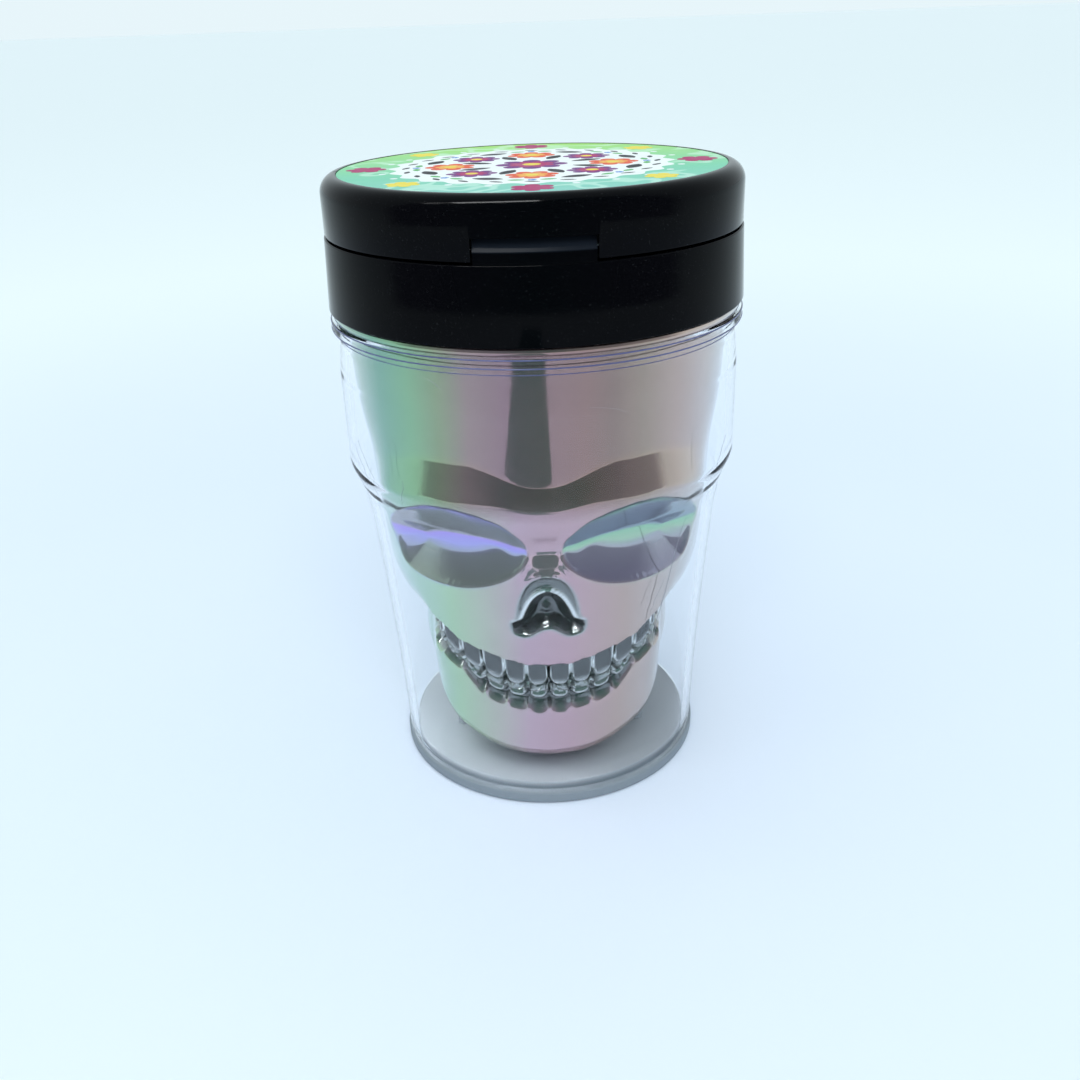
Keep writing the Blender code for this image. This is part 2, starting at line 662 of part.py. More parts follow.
def make_screw(index, x, y, parts, steel, cutters):
    """A self-tapping screw with a cross slot, up through the inner cap into its boss."""
    head_top = INNER_CAP_Z - 0.1
    screw = rod(
        f"inner_cap_screw_{index}",
        SCREW_HEAD_R * 0.8,
        (x, y, head_top - SCREW_HEAD_T),
        (x, y, head_top),
        parts,
        steel,
        steps=12,
        top_radius=SCREW_HEAD_R,
    )
    shank = rod(f"shank_{index}", SCREW_R, (x, y, head_top - 0.3), (x, y, head_top + SCREW_L), cutters, steps=10)
    combine(screw, shank, "UNION")
    for name, wide, deep in (("a", 1.4, 0.25), ("b", 0.25, 1.4)):
        low = (x - wide, y - deep, head_top - SCREW_HEAD_T - 1)
        high = (x + wide, y + deep, head_top - SCREW_HEAD_T + 0.5)
        combine(screw, box(f"cross_{name}_{index}", low, high, cutters), "DIFFERENCE")
    return screw


def make_light(parts, finishes, cutters):
    """The lens, LED, board, cell, contacts and battery door inside the lid."""
    steel, lens, green, white, brass, black = finishes
    flange_top = INNER_CAP_TOP_Z + 0.15
    dome = [(0.0, flange_top + 0.5), (LENS_R + LENS_FLANGE_W, flange_top + 0.5), (LENS_R + LENS_FLANGE_W, flange_top)]
    dome.append((LENS_R, flange_top))
    dome.append((LENS_R, INNER_CAP_Z))
    for i in range(1, 4):
        t = math.pi / 2 * i / 4
        dome.append((LENS_R * math.cos(t), INNER_CAP_Z - LENS_DOME * math.sin(t)))
    dome.append((0.0, INNER_CAP_Z - LENS_DOME))
    turned("led_lens", dome, parts, lens, steps=16, closed=False)
    led_z = flange_top + 0.5 + 0.1
    box("led_chip", (-LED_W / 2, -LED_W / 2, led_z), (LED_W / 2, LED_W / 2, led_z + LED_T), parts, white)
    board_z = led_z + LED_T + 0.05
    low = (-BOARD_W / 2, BOARD_Y - BOARD_L / 2, board_z)
    high = (BOARD_W / 2, BOARD_Y + BOARD_L / 2, board_z + BOARD_T)
    box("circuit_board", low, high, parts, green)
    cell = rod("coin_cell", CELL_R, (0, CELL_Y, CELL_Z), (0, CELL_Y, CELL_Z + CELL_T), parts, steel, steps=FINE_STEPS)
    bevel = cell.modifiers.new("rim", "BEVEL")
    bevel.width = 0.25 * MM
    bevel.segments = 1
    plus_z = CELL_Z + CELL_T + 0.15
    low = (-CONTACT_W / 2, BOARD_Y - 2, plus_z)
    high = (CONTACT_W / 2, CELL_Y + 4, plus_z + CONTACT_T)
    plus = box("contact_positive", low, high, parts, brass)
    foot = box(
        "contact_foot",
        (-CONTACT_W / 2, BOARD_Y - 2, board_z + BOARD_T + 0.05),
        (CONTACT_W / 2, BOARD_Y, plus_z + 0.1),
        cutters,
    )
    combine(plus, foot, "UNION")
    minus_z = CELL_Z - 0.1 - CONTACT_T
    low = (-CONTACT_W / 2, CELL_Y - CELL_R + 0.5, minus_z)
    high = (CONTACT_W / 2, CELL_Y + 5, minus_z + CONTACT_T * 0.8)
    box("contact_negative", low, high, parts, brass)
    door_top = INNER_CAP_Z + DOOR_T
    door = rod("battery_door", DOOR_R, (0, CELL_Y, INNER_CAP_Z), (0, CELL_Y, door_top), parts, black, steps=FINE_STEPS)
    low = (-COIN_SLOT_L / 2, CELL_Y - COIN_SLOT_W / 2, INNER_CAP_Z - 1)
    high = (COIN_SLOT_L / 2, CELL_Y + COIN_SLOT_W / 2, INNER_CAP_Z + COIN_SLOT_D)
    combine(door, box("coin_slot", low, high, cutters), "DIFFERENCE")


def make_switch(parts, black, red, steel, cutters):
    """The plunger that the closed lid presses in, its spring and its housing."""
    tip_z = SNUFFER_Z + SHEET_T + 0.15
    top_z = tip_z + PLUNGER_L
    plunger = rod("switch_plunger", PLUNGER_R, (0, PLUNGER_Y, tip_z), (0, PLUNGER_Y, top_z), parts, red, steps=14)
    bevel = plunger.modifiers.new("tip", "BEVEL")
    bevel.width = 0.2 * MM
    bevel.segments = 1
    bevel.limit_method = "ANGLE"
    room_top = CEILING_Z - 1.4
    half = SWITCH_W / 2
    low = (-half, PLUNGER_Y - half + 0.6, SWITCH_Z)
    high = (half, PLUNGER_Y + half, CEILING_Z - 0.4)
    body = box("switch_body", low, high, parts, black)
    bore_low, bore_high = (0, PLUNGER_Y, SWITCH_Z - 1), (0, PLUNGER_Y, room_top)
    combine(body, rod("switch_bore", PLUNGER_R + RUNNING, bore_low, bore_high, cutters, steps=14), "DIFFERENCE")
    low_z, high_z = top_z + SPRING_WIRE_R + 0.1, room_top - SPRING_WIRE_R - 0.1
    pitch = (high_z - low_z) / SPRING_TURNS
    spring = helix(
        "switch_spring", 0.75, low_z, SPRING_TURNS, SPRING_WIRE_R, parts, steel, pitch, per_turn=10, sides=1
    )
    for vertex in spring.data.vertices:
        vertex.co.y += PLUNGER_Y * MM


def main():
    clear_scene()
    parts = collection("skull_ashtray")
    cutters = collection("cutters", hidden=True)
    clear = material("clear_plastic", (0.92, 0.95, 0.97), 0.05, alpha=0.25)
    pearl = material("pearl_chrome", (0.62, 0.60, 0.58), 0.12, metallic=0.9)
    white = material("white_plastic", (0.80, 0.83, 0.86), 0.35)
    black = material("black_plastic", (0.012, 0.012, 0.014), 0.16)
    label = material("printed_label", (0.35, 0.75, 0.50), 0.4)
    steel = material("steel", (0.62, 0.62, 0.63), 0.3, metallic=1.0)
    brass = material("contact_metal", (0.75, 0.62, 0.35), 0.3, metallic=1.0)
    rubber = material("silicone", (0.75, 0.76, 0.76), 0.6)
    lens = material("lens_plastic", (0.95, 0.96, 0.98), 0.1, alpha=0.5)
    green = material("board_green", (0.03, 0.18, 0.07), 0.4)
    ceramic = material("led_white", (0.90, 0.88, 0.70), 0.4)
    red = material("plunger_plastic", (0.60, 0.60, 0.60), 0.4)

    make_outer_cup(parts, clear)
    make_base_cap(parts, white, cutters)
    make_skull_liner(parts, pearl, cutters)
    seal = tube_profile(NECK_R - 0.1, NECK_BORE_R + 0.1, SEAL_Z, SEAL_Z + SEAL_T)
    turned("seal_ring", seal, parts, rubber, steps=FINE_STEPS)
    make_collar(parts, black, cutters)
    make_snuffer(parts, steel)
    pin_half = KNUCKLE_HALF + GAP + EAR_W
    rod("hinge_pin", PIN_R, (-pin_half, PIN_Y, PIN_Z), (pin_half, PIN_Y, PIN_Z), parts, steel)
    make_lid_shell(parts, black, cutters)
    label_z = LID_TOP_Z - LABEL_RECESS + 0.05
    rod("lid_label", LABEL_R - 0.1, (0, 0, label_z), (0, 0, label_z + LABEL_T), parts, label, steps=CUP_STEPS)
    make_inner_cap(parts, black, cutters)
    gasket_z = INNER_CAP_Z + GASKET_GROOVE - 0.1
    gasket = tube_profile(BEAD_R + GASKET_W / 2, BEAD_R - GASKET_W / 2, gasket_z - GASKET_T, gasket_z)
    turned("lid_gasket", gasket, parts, rubber, steps=FINE_STEPS)
    for i, (x, y) in enumerate(boss_places(), start=1):
        make_screw(i, x, y, parts, steel, cutters)
    make_light(parts, (steel, lens, green, ceramic, brass, black), cutters)
    make_switch(parts, black, red, steel, cutters)


main()
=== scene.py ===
"""The finished look of the lidded skull ashtray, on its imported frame."""

import math

import bmesh
import bpy
import numpy as np
from mathutils import Matrix, Vector


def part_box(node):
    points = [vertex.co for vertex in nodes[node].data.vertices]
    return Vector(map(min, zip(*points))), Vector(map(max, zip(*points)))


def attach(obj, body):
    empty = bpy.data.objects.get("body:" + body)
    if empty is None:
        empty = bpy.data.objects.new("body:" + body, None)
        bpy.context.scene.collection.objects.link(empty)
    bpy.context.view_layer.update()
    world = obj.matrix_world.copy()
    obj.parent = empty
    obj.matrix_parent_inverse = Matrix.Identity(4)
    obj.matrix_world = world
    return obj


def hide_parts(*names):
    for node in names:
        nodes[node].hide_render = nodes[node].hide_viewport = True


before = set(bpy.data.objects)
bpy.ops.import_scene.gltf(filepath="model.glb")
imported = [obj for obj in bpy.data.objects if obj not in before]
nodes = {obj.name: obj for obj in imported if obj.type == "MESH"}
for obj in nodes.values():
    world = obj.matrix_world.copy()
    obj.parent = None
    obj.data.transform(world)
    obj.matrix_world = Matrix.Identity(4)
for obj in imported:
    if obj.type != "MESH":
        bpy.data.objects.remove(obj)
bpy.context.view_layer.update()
MM = 0.001

# ---- sizes in millimetres, the same as the CAD model's ---------------------------------------
CUP_R, CUP_WALL = 40.2, 1.6
STEP_Z = 66.5
RIM_Z, RIM_R = 99.2, 40.8
FOOT_Z, FOOT_R = 2.7, 33.1
STEP_IN = 2.4  # how far the lower half steps in at the shoulder
FLANGE_Z, FLANGE_R = 99.5, 40.3
COLLAR_Z, COLLAR_R, COLLAR_TOP_R = 101.0, 41.0, 40.45
NECK_R, NECK_BORE_R, NECK_TOP_Z = 37.2, 35.8, 111.3
DECK_Z, COLLAR_TOP_Z = 112.9, 114.7
LID_Z, LID_R, LID_TOP_Z, CEILING_Z = 115.1, 40.3, 125.7, 123.7
LABEL_R = 37.1
INNER_CAP_TOP_Z, INNER_CAP_R = 118.6, 38.0
BEAD_R = 36.6
PIN_Y, PIN_Z, PIN_R, BARREL_R = 43.75, 114.9, 1.1, 2.6
KNUCKLE_HALF, EAR_W = 8.5, 4.6
LUG_W, LUG_H = 21.0, 3.9
CELL_Y, DOOR_R = 17.0, 11.4
PLUNGER_Y = -32.45
LENS_R = 3.4
LABEL_FACE_Z = 125.60
BOSSES = [(31.0 * math.cos(math.radians(a)), 31.0 * math.sin(math.radians(a))) for a in (45, 135, 225, 315)]


# ---- mesh helpers ------------------------------------------------------------------------------
def link(name, mesh, sharp=35.0):
    """An object in the scene, smooth but for its sharp edges."""
    obj = bpy.data.objects.new(name, mesh)
    bpy.context.scene.collection.objects.link(obj)
    mesh.polygons.foreach_set("use_smooth", [True] * len(mesh.polygons))
    mesh.set_sharp_from_angle(angle=math.radians(sharp))
    return obj


def mesh_from(name, bm):
    bmesh.ops.recalc_face_normals(bm, faces=bm.faces)
    mesh = bpy.data.meshes.new(name)
    bm.to_mesh(mesh)
    bm.free()
    return mesh


def rounded(points, steps=5):
    """(r, z) or (r, z, fillet) points, with each filleted corner turned into an arc."""
    out = []
    count = len(points)
    for i, point in enumerate(points):
        if len(point) < 3 or i in (0, count - 1) and len(points[0]) < 3 and point[0] == 0:
            out.append((point[0], point[1]))
            continue
        here = Vector(point[:2])
        before = Vector(points[i - 1][:2]) - here
        after = Vector(points[(i + 1) % count][:2]) - here
        half = before.angle(after) / 2
        cut = min(point[2] / math.tan(half), before.length * 0.49, after.length * 0.49)
        start = here + before.normalized() * cut
        end = here + after.normalized() * cut
        for k in range(steps + 1):
            t = k / steps
            spot = start * (1 - t) ** 2 + here * 2 * t * (1 - t) + end * t**2
            out.append((spot.x, spot.y))
    return out


def lathe(name, profile, steps=192, closed=True, centre=(0.0, 0.0), sharp=35.0):
    """A profile of (r, z) swept round a vertical axis."""
    bm = bmesh.new()
    rings = []
    for r, z in profile:
        if r < 1e-6:
            rings.append([bm.verts.new((centre[0] * MM, centre[1] * MM, z * MM))])
            continue
        ring = []
        for k in range(steps):
            a = math.tau * k / steps
            x, y = centre[0] + r * math.cos(a), centre[1] + r * math.sin(a)
            ring.append(bm.verts.new((x * MM, y * MM, z * MM)))
        rings.append(ring)
    pairs = list(zip(rings, rings[1:]))
    if closed:
        pairs.append((rings[-1], rings[0]))
    for a, b in pairs:
        if len(a) == 1 and len(b) == 1:
            continue
        for k in range(steps):
            j = (k + 1) % steps
            if len(a) == 1:
                bm.faces.new((a[0], b[k], b[j]))
            elif len(b) == 1:
                bm.faces.new((a[k], b[0], a[j]))
            else:
                bm.faces.new((a[k], b[k], b[j], a[j]))
    return link(name, mesh_from(name, bm), sharp)


def block(name, low, high, bevel=0.0, segments=3):
    """A box with rounded edges."""
    bm = bmesh.new()
    size = [(h - l) * MM for l, h in zip(low, high)]
    centre = Vector([(h + l) / 2 * MM for l, h in zip(low, high)])
    bmesh.ops.create_cube(bm, size=1.0, matrix=Matrix.Translation(centre) @ Matrix.Diagonal((*size, 1.0)))
    if bevel:
        bmesh.ops.bevel(
            bm, geom=bm.edges[:], offset=bevel * MM, segments=segments, affect="EDGES", profile=0.5
        )
    return link(name, mesh_from(name, bm))


def bar(name, radius, start, end, steps=48, bevel=0.0):
    """A round bar between two points, its end edges rounded."""
    a, b = Vector(start), Vector(end)
    length = (b - a).length
    cut = bevel * 0.4142
    profile = [(0.0, length), (radius - bevel, length)]
    profile += [(radius - cut, length - cut), (radius, length - bevel)]
    profile += [(radius, bevel), (radius - cut, cut), (radius - bevel, 0.0), (0.0, 0.0)]
    if not bevel:
        profile = [(0.0, length), (radius, length), (radius, 0.0), (0.0, 0.0)]
    obj = lathe(name, profile, steps, closed=False)
    turn = (b - a).to_track_quat("Z", "X").to_matrix().to_4x4()
    obj.data.transform(Matrix.Translation(a * MM) @ turn)
    return obj


def cut(obj, other, operation="DIFFERENCE"):
    """Applies a Boolean and removes the cutter."""
    modifier = obj.modifiers.new("cut", "BOOLEAN")
    modifier.operation = operation
    modifier.solver = "EXACT"
    modifier.object = other
    bpy.context.view_layer.update()
    graph = bpy.context.evaluated_depsgraph_get()
    mesh = bpy.data.meshes.new_from_object(obj.evaluated_get(graph))
    obj.modifiers.clear()
    old = obj.data
    obj.data = mesh
    bpy.data.meshes.remove(old)
    bpy.data.objects.remove(other)
    mesh.polygons.foreach_set("use_smooth", [True] * len(mesh.polygons))
    mesh.set_sharp_from_angle(angle=math.radians(35))
    return obj


def place(obj, body, material, *stands_for, slot=None):
    """Rides on a body, takes a material, and stands for CAD nodes."""
    obj.data.materials.clear()
    obj.data.materials.append(material)
    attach(obj, body)
    if stands_for:
        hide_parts(*stands_for)
    return obj


# ---- materials ---------------------------------------------------------------------------------
class Shader:
    """A Principled material with a few helpers for its nodes."""

    def __init__(self, name, **values):
        self.mat = bpy.data.materials.new(name)
        self.mat.use_nodes = True
        self.tree = self.mat.node_tree
        self.bsdf = self.tree.nodes["Principled BSDF"]
        self.out = self.tree.nodes["Material Output"]
        for key, value in values.items():
            self.bsdf.inputs[key.replace("_", " ")].default_value = value

    def node(self, kind, inputs=None, **settings):
        made = self.tree.nodes.new(kind)
        for key, value in settings.items():
            setattr(made, key, value)
        for key, value in (inputs or {}).items():
            if hasattr(value, "is_output"):
                self.tree.links.new(value, made.inputs[key])
            else:
                made.inputs[key].default_value = value
        return made

    def feed(self, source, name):
        self.tree.links.new(source, self.bsdf.inputs[name])

    def coords(self):
        return self.node("ShaderNodeTexCoord").outputs["Object"]

    def noise(self, scale, detail=4.0, stretch=None, rough=0.55, where=None):
        vector = where or self.coords()
        if stretch:
            vector = self.node("ShaderNodeMapping", {"Vector": vector, "Scale": stretch}).outputs["Vector"]
        made = self.node(
            "ShaderNodeTexNoise", {"Vector": vector, "Scale": scale, "Detail": detail, "Roughness": rough}
        )
        return made.outputs["Fac"]

    def math(self, operation, a, b=0.0, clamp=False):
        made = self.node("ShaderNodeMath", {0: a, 1: b}, operation=operation, use_clamp=clamp)
        return made.outputs[0]

    def span(self, value, low, high, to_low=0.0, to_high=1.0, smooth=False):
        inputs = {"Value": value, "From Min": low, "From Max": high, "To Min": to_low, "To Max": to_high}
        kind = "SMOOTHSTEP" if smooth else "LINEAR"
        return self.node("ShaderNodeMapRange", inputs, interpolation_type=kind).outputs["Result"]

    def ramp(self, value, stops):
        made = self.node("ShaderNodeValToRGB", {"Fac": value})
        elements = made.color_ramp.elements
        while len(elements) < len(stops):
            elements.new(0.5)
        for element, (at, color) in zip(elements, stops):
            element.position = at
            element.color = (*color, 1.0)
        return made.outputs["Color"]

    def mix(self, fac, a, b, mode="MIX"):
        made = self.node("ShaderNodeMix", data_type="RGBA", blend_type=mode)
        for index, value in ((0, fac), (6, a), (7, b)):
            if hasattr(value, "is_output"):
                self.tree.links.new(value, made.inputs[index])
            elif index == 0:
                made.inputs[index].default_value = value
            else:
                made.inputs[index].default_value = (*value, 1.0)
        return made.outputs[2]

    def bump(self, height, strength, distance=0.0002):
        made = self.node("ShaderNodeBump", {"Height": height, "Strength": strength, "Distance": distance})
        self.feed(made.outputs["Normal"], "Normal")
        return made


def black_plastic(name="gloss_black"):
    """Gloss black moulding: fine dust, faint handling scratches, slightly uneven gloss."""
    s = Shader(name, Metallic=0.0, IOR=1.13)
    dust = s.span(s.noise(2600, 2), 0.66, 0.74, 0.0, 1.0)
    grime = s.noise(70, 5)
    s.feed(s.mix(s.math("MULTIPLY", dust, 0.035), (0.0010, 0.0011, 0.0018), (0.30, 0.31, 0.33)), "Base Color")
    scratch = s.span(s.noise(240, 3, stretch=(1.0, 1.0, 26.0)), 0.60, 0.70, 0.0, 0.12)
    rough = s.math("ADD", s.span(grime, 0.3, 0.75, 0.05, 0.13), scratch)
    s.feed(rough, "Roughness")
    s.bump(s.noise(420, 3), 0.05, 0.00004)
    return s.mat


def painted_light_chamfer_black(chamfer_z):
    """The lug: its up-facing chamfer is painted a lighter grey, a painted highlight for the light from above,
    and is rougher than the rest.
    """
    s = Shader("painted_light_chamfer_black", Metallic=0.0, IOR=1.13)
    height = s.node("ShaderNodeSeparateXYZ", {0: s.coords()}).outputs["Z"]
    lit_chamfer = s.span(height, (chamfer_z - 0.1) * MM, (chamfer_z + 0.2) * MM)
    # painted light: the chamfer's grey stands for light falling on it from above; below it the lug stays black
    grey = s.mix(s.noise(300, 4), (0.0065, 0.0090, 0.0140), (0.0100, 0.0130, 0.0190))
    s.feed(s.mix(lit_chamfer, (0.0010, 0.0011, 0.0018), grey), "Base Color")
    s.feed(s.span(lit_chamfer, 0.0, 1.0, 0.12, 0.36), "Roughness")
    return s.mat


def plain(name, color, roughness, metallic=0.0, variation=0.12, scale=180, bump=0.08, **extra):
    """A moulded or cast surface with mottled colour, uneven gloss and a fine grain."""
    s = Shader(name, Metallic=metallic, **extra)
    mottle = s.noise(scale, 5)
    dark = tuple(c * (1 - variation) for c in color)
    light = tuple(min(1.0, c * (1 + variation)) for c in color)
    s.feed(s.mix(mottle, dark, light), "Base Color")
    s.feed(s.span(mottle, 0.3, 0.7, roughness * 0.8, min(1.0, roughness * 1.2)), "Roughness")
    s.bump(s.noise(scale * 8, 2), bump, 0.00006)
    return s.mat


def turned_metal(name, color, roughness, around=True):
    """Spun or brushed metal, its fine lines running round the axis."""
    s = Shader(name, Metallic=1.0)
    lines = s.noise(600, 4, stretch=(0.3, 0.3, 9.0) if around else (9.0, 0.3, 0.3))
    stain = s.noise(60, 4)
    s.feed(s.mix(stain, tuple(c * 0.82 for c in color), color), "Base Color")
    s.feed(s.span(lines, 0.3, 0.7, roughness * 0.75, roughness * 1.3), "Roughness")
    s.bump(lines, 0.12, 0.00003)
    return s.mat


def clear_plastic(name, tint, roughness=0.03, ior=1.12, scratches=True):
    """Clear plastic. Light reaches what stands in it through the wall, without the wall's shadow."""
    s = Shader(name, Base_Color=(*tint, 1.0), Metallic=0.0, IOR=ior, Transmission_Weight=1.0)
    rough = s.span(s.noise(90, 4), 0.35, 0.75, roughness * 0.5, roughness * 1.6)
    s.feed(rough, "Roughness")
    if scratches:
        s.bump(s.noise(55, 2), 0.05, 0.00012)
    shadow = s.node("ShaderNodeLightPath").outputs["Is Shadow Ray"]
    through = s.node("ShaderNodeBsdfTransparent", {"Color": (0.97, 0.985, 1.0, 1.0)})
    both = s.node("ShaderNodeMixShader", {0: shadow, 1: s.bsdf.outputs[0], 2: through.outputs[0]})
    s.tree.links.new(both.outputs[0], s.out.inputs["Surface"])
    return s.mat


# Hues of the pearl coat as (place on the ramp, linear colour): round the head, and by slope in the sockets. They
# are the coat's iridescent tints together with painted reflections; the change with slope in the sockets is
# painted reflection, lighter where a socket faces down and darker where it faces up.
UPPER_HUES = (
    (0.00, (0.50, 0.60, 0.60)), (0.05, (0.42, 0.53, 0.46)), (0.12, (0.23, 0.42, 0.32)),
    (0.19, (0.27, 0.46, 0.28)), (0.26, (0.30, 0.36, 0.23)), (0.33, (0.35, 0.26, 0.25)),
    (0.42, (0.32, 0.21, 0.23)), (0.60, (0.34, 0.22, 0.20)), (0.67, (0.32, 0.23, 0.20)),
    (0.75, (0.40, 0.31, 0.25)), (0.83, (0.52, 0.39, 0.34)), (0.91, (0.62, 0.52, 0.48)),
    (1.00, (0.64, 0.64, 0.66)),
)
LOWER_HUES = (
    (0.00, (0.62, 0.68, 0.70)), (0.12, (0.48, 0.64, 0.58)), (0.24, (0.44, 0.60, 0.42)),
    (0.35, (0.50, 0.49, 0.44)), (0.44, (0.55, 0.40, 0.46)), (0.56, (0.56, 0.39, 0.43)),
    (0.70, (0.55, 0.42, 0.38)), (0.85, (0.60, 0.55, 0.52)), (1.00, (0.66, 0.70, 0.72)),
)
LEFT_EYE_HUES = (
    (0.00, (0.44, 0.42, 0.46)), (0.28, (0.42, 0.40, 0.45)), (0.42, (0.46, 0.35, 0.80)),
    (0.64, (0.44, 0.42, 0.78)), (0.78, (0.34, 0.38, 0.38)), (1.00, (0.26, 0.30, 0.26)),
)
RIGHT_EYE_HUES = (
    (0.00, (0.36, 0.44, 0.50)), (0.28, (0.34, 0.42, 0.48)), (0.42, (0.36, 0.62, 0.42)),
    (0.64, (0.44, 0.60, 0.44)), (0.72, (0.42, 0.42, 0.48)), (1.00, (0.30, 0.28, 0.36)),
)


def pearl_chrome():
    """Iridescent mirror coat: its hue drifts round the head, and with the slope of the face as painted
    reflection and sheen.
    The mouth and the nose are bare, and look like smoked chrome."""
    s = Shader("pearl_chrome", Metallic=0.86)
    tex = s.node("ShaderNodeTexCoord")
    normal = s.node("ShaderNodeSeparateXYZ", {0: tex.outputs["Normal"]})
    spot = s.node("ShaderNodeSeparateXYZ", {0: tex.outputs["Object"]})
    nx, nz = normal.outputs["X"], normal.outputs["Z"]
    drift = s.math("SUBTRACT", s.noise(26, 2, where=tex.outputs["Object"]), 0.5)
    around = s.math("DIVIDE", spot.outputs["X"], 0.0385)
    # the hue also shifts with the sideways slope of the surface: painted sheen of the coat
    blend = s.math("ADD", s.math("MULTIPLY", around, 0.38), s.math("MULTIPLY", nx, 0.12))
    t = s.math("ADD", s.math("ADD", blend, 0.5), s.math("MULTIPLY", drift, 0.07))
    upper = s.ramp(t, UPPER_HUES)
    lower = s.ramp(t, LOWER_HUES)
    height = s.math("ADD", spot.outputs["Z"], s.math("MULTIPLY", drift, 0.006))
    hues = s.mix(s.span(height, 0.0660, 0.0715, smooth=True), lower, upper)
    eye = s.node("ShaderNodeAttribute", attribute_name="eye").outputs["Fac"]
    # painted reflection in the sockets: lighter where they face down, darker where they face up, violet between
    tilt = s.span(nz, -0.75, 0.55, 0.0, 1.0)
    left_eye = s.ramp(tilt, LEFT_EYE_HUES)
    right_eye = s.ramp(tilt, RIGHT_EYE_HUES)
    eyes = s.mix(s.span(spot.outputs["X"], -0.002, 0.002), left_eye, right_eye)
    color = s.mix(eye, hues, eyes)
    bare = s.node("ShaderNodeAttribute", attribute_name="bare").outputs["Fac"]
    color = s.mix(bare, color, (0.46, 0.48, 0.48))
    # painted shade and highlights: the shade mask darkens the nose well, the gaps between the teeth and the
    # up-facing tooth facets; where it is negative it paints highlights on the tooth rims and the nose arch
    shade = s.node("ShaderNodeAttribute", attribute_name="shade").outputs["Fac"]
    color = s.mix(s.math("MAXIMUM", shade, 0.0), color, (0.045, 0.05, 0.055))
    color = s.mix(s.math("MULTIPLY", s.math("MINIMUM", shade, 0.0), -0.85), color, (0.92, 0.95, 0.95))
    s.feed(color, "Base Color")
    s.feed(s.span(s.noise(120, 4), 0.3, 0.7, 0.05, 0.11), "Roughness")
    s.bump(s.noise(60, 2), 0.03, 0.00006)
    return s.mat


def frosted_plastic():
    """Pale base disc, its outer side painted a darker grey than its top: a painted shadow near the floor."""
    s = Shader("frosted_base", Metallic=0.0, IOR=1.12)
    height = s.node("ShaderNodeSeparateXYZ", {0: s.coords()}).outputs["Z"]
    mottle = s.noise(60, 5)
    top = s.mix(mottle, (0.42, 0.46, 0.50), (0.46, 0.49, 0.53))
    # painted shadow: the colour turns a darker grey below 2.6 to 3.6 mm, towards the floor
    s.feed(s.mix(s.span(height, 0.0026, 0.0036), (0.225, 0.26, 0.295), top), "Base Color")
    s.feed(s.span(mottle, 0.3, 0.7, 0.26, 0.36), "Roughness")
    s.bump(s.noise(500, 2), 0.06, 0.00005)
    return s.mat


def printed_ground():
    """The label's ground: green at the back, teal at the front, with faint pale swirls."""
    s = Shader("label_ground", Metallic=0.0, IOR=1.3)
    spot = s.coords()
    along = s.span(s.node("ShaderNodeSeparateXYZ", {0: spot}).outputs["Y"], -0.037, 0.037)
    ground = s.ramp(along, [(0.0, (0.24, 0.58, 0.50)), (0.35, (0.20, 0.60, 0.40)), (1.0, (0.38, 0.72, 0.16))])
    swirl = {"Vector": spot, "Scale": 62.0, "Distortion": 9.0, "Detail": 1.0, "Detail Scale": 1.6}
    curl = s.node("ShaderNodeTexWave", swirl, wave_type="RINGS").outputs["Fac"]
    s.feed(s.mix(s.span(curl, 0.80, 0.96, 0.0, 0.42), ground, (0.72, 0.93, 0.80)), "Base Color")
    s.feed(s.span(s.noise(160, 4), 0.3, 0.7, 0.48, 0.60), "Roughness")
    return s.mat


# ---- tumbler -------------------------------------------------------------------------------
def cup_radius(z):
    """Outer radius of the tumbler's lower half, at one height or an array of them."""
    share = np.clip((z - FOOT_Z) / (STEP_Z - FOOT_Z), 0, None)
    return FOOT_R + (CUP_R - STEP_IN - FOOT_R) * share - 0.55 * 4 * share * (1 - share)


def make_cup(clear):
    lows = [FOOT_Z + (STEP_Z - 8.0 - FOOT_Z) * i / 16 for i in range(17)]
    under = RIM_Z - 1.9
    outer = [
        (RIM_R, RIM_Z, 0.35),
        (RIM_R, under, 0.35),
        (CUP_R - 0.6, under, 0.3),
        (CUP_R - 0.6, under - 3.0, 2.0),
        (CUP_R, under - 9.0, 3.0),
        (CUP_R, STEP_Z + 3.4, 4.0),
        (CUP_R - 2.1, STEP_Z - 1.8, 4.0),
    ]
    outer += [(cup_radius(z), z) for z in reversed(lows)]
    inner = [(cup_radius(z) - CUP_WALL, z) for z in lows]
    inner += [
        (CUP_R - 2.1 - CUP_WALL, STEP_Z - 1.6, 4.0),
        (CUP_R - CUP_WALL, STEP_Z + 3.6, 4.0),
        (CUP_R - CUP_WALL, under - 9.0, 3.0),
        (CUP_R - 0.6 - CUP_WALL, under - 3.0, 2.0),
        (CUP_R - 0.6 - CUP_WALL, RIM_Z, 0.3),
    ]
    cup = lathe("tumbler_clear_shell", rounded(outer + inner), 256, sharp=60)
    place(cup, "cup", clear, "outer_cup", slot="clear_plastic")
    # painted refraction: thin dark blue rings on the rim's edges stand for the light bent at these edges of the
    # clear plastic
    edge = plain("rim_painted_refraction", (0.075, 0.085, 0.21), 0.25, variation=0.3, scale=40)
    lines = ((RIM_R, RIM_Z - 0.2, 0.13), (RIM_R, under + 0.2, 0.13), (CUP_R - 0.5, under - 1.2, 0.08))
    for i, (r, z, wire) in enumerate(lines):
        corners = [math.tau * k / 8 for k in range(8)]
        turn = [(r + wire * math.cos(a), z + wire * math.sin(a)) for a in corners]
        place(lathe(f"rim_line_{i}", turn, 160, sharp=180), "cup", edge, slot="clear_plastic")
    make_scratches()


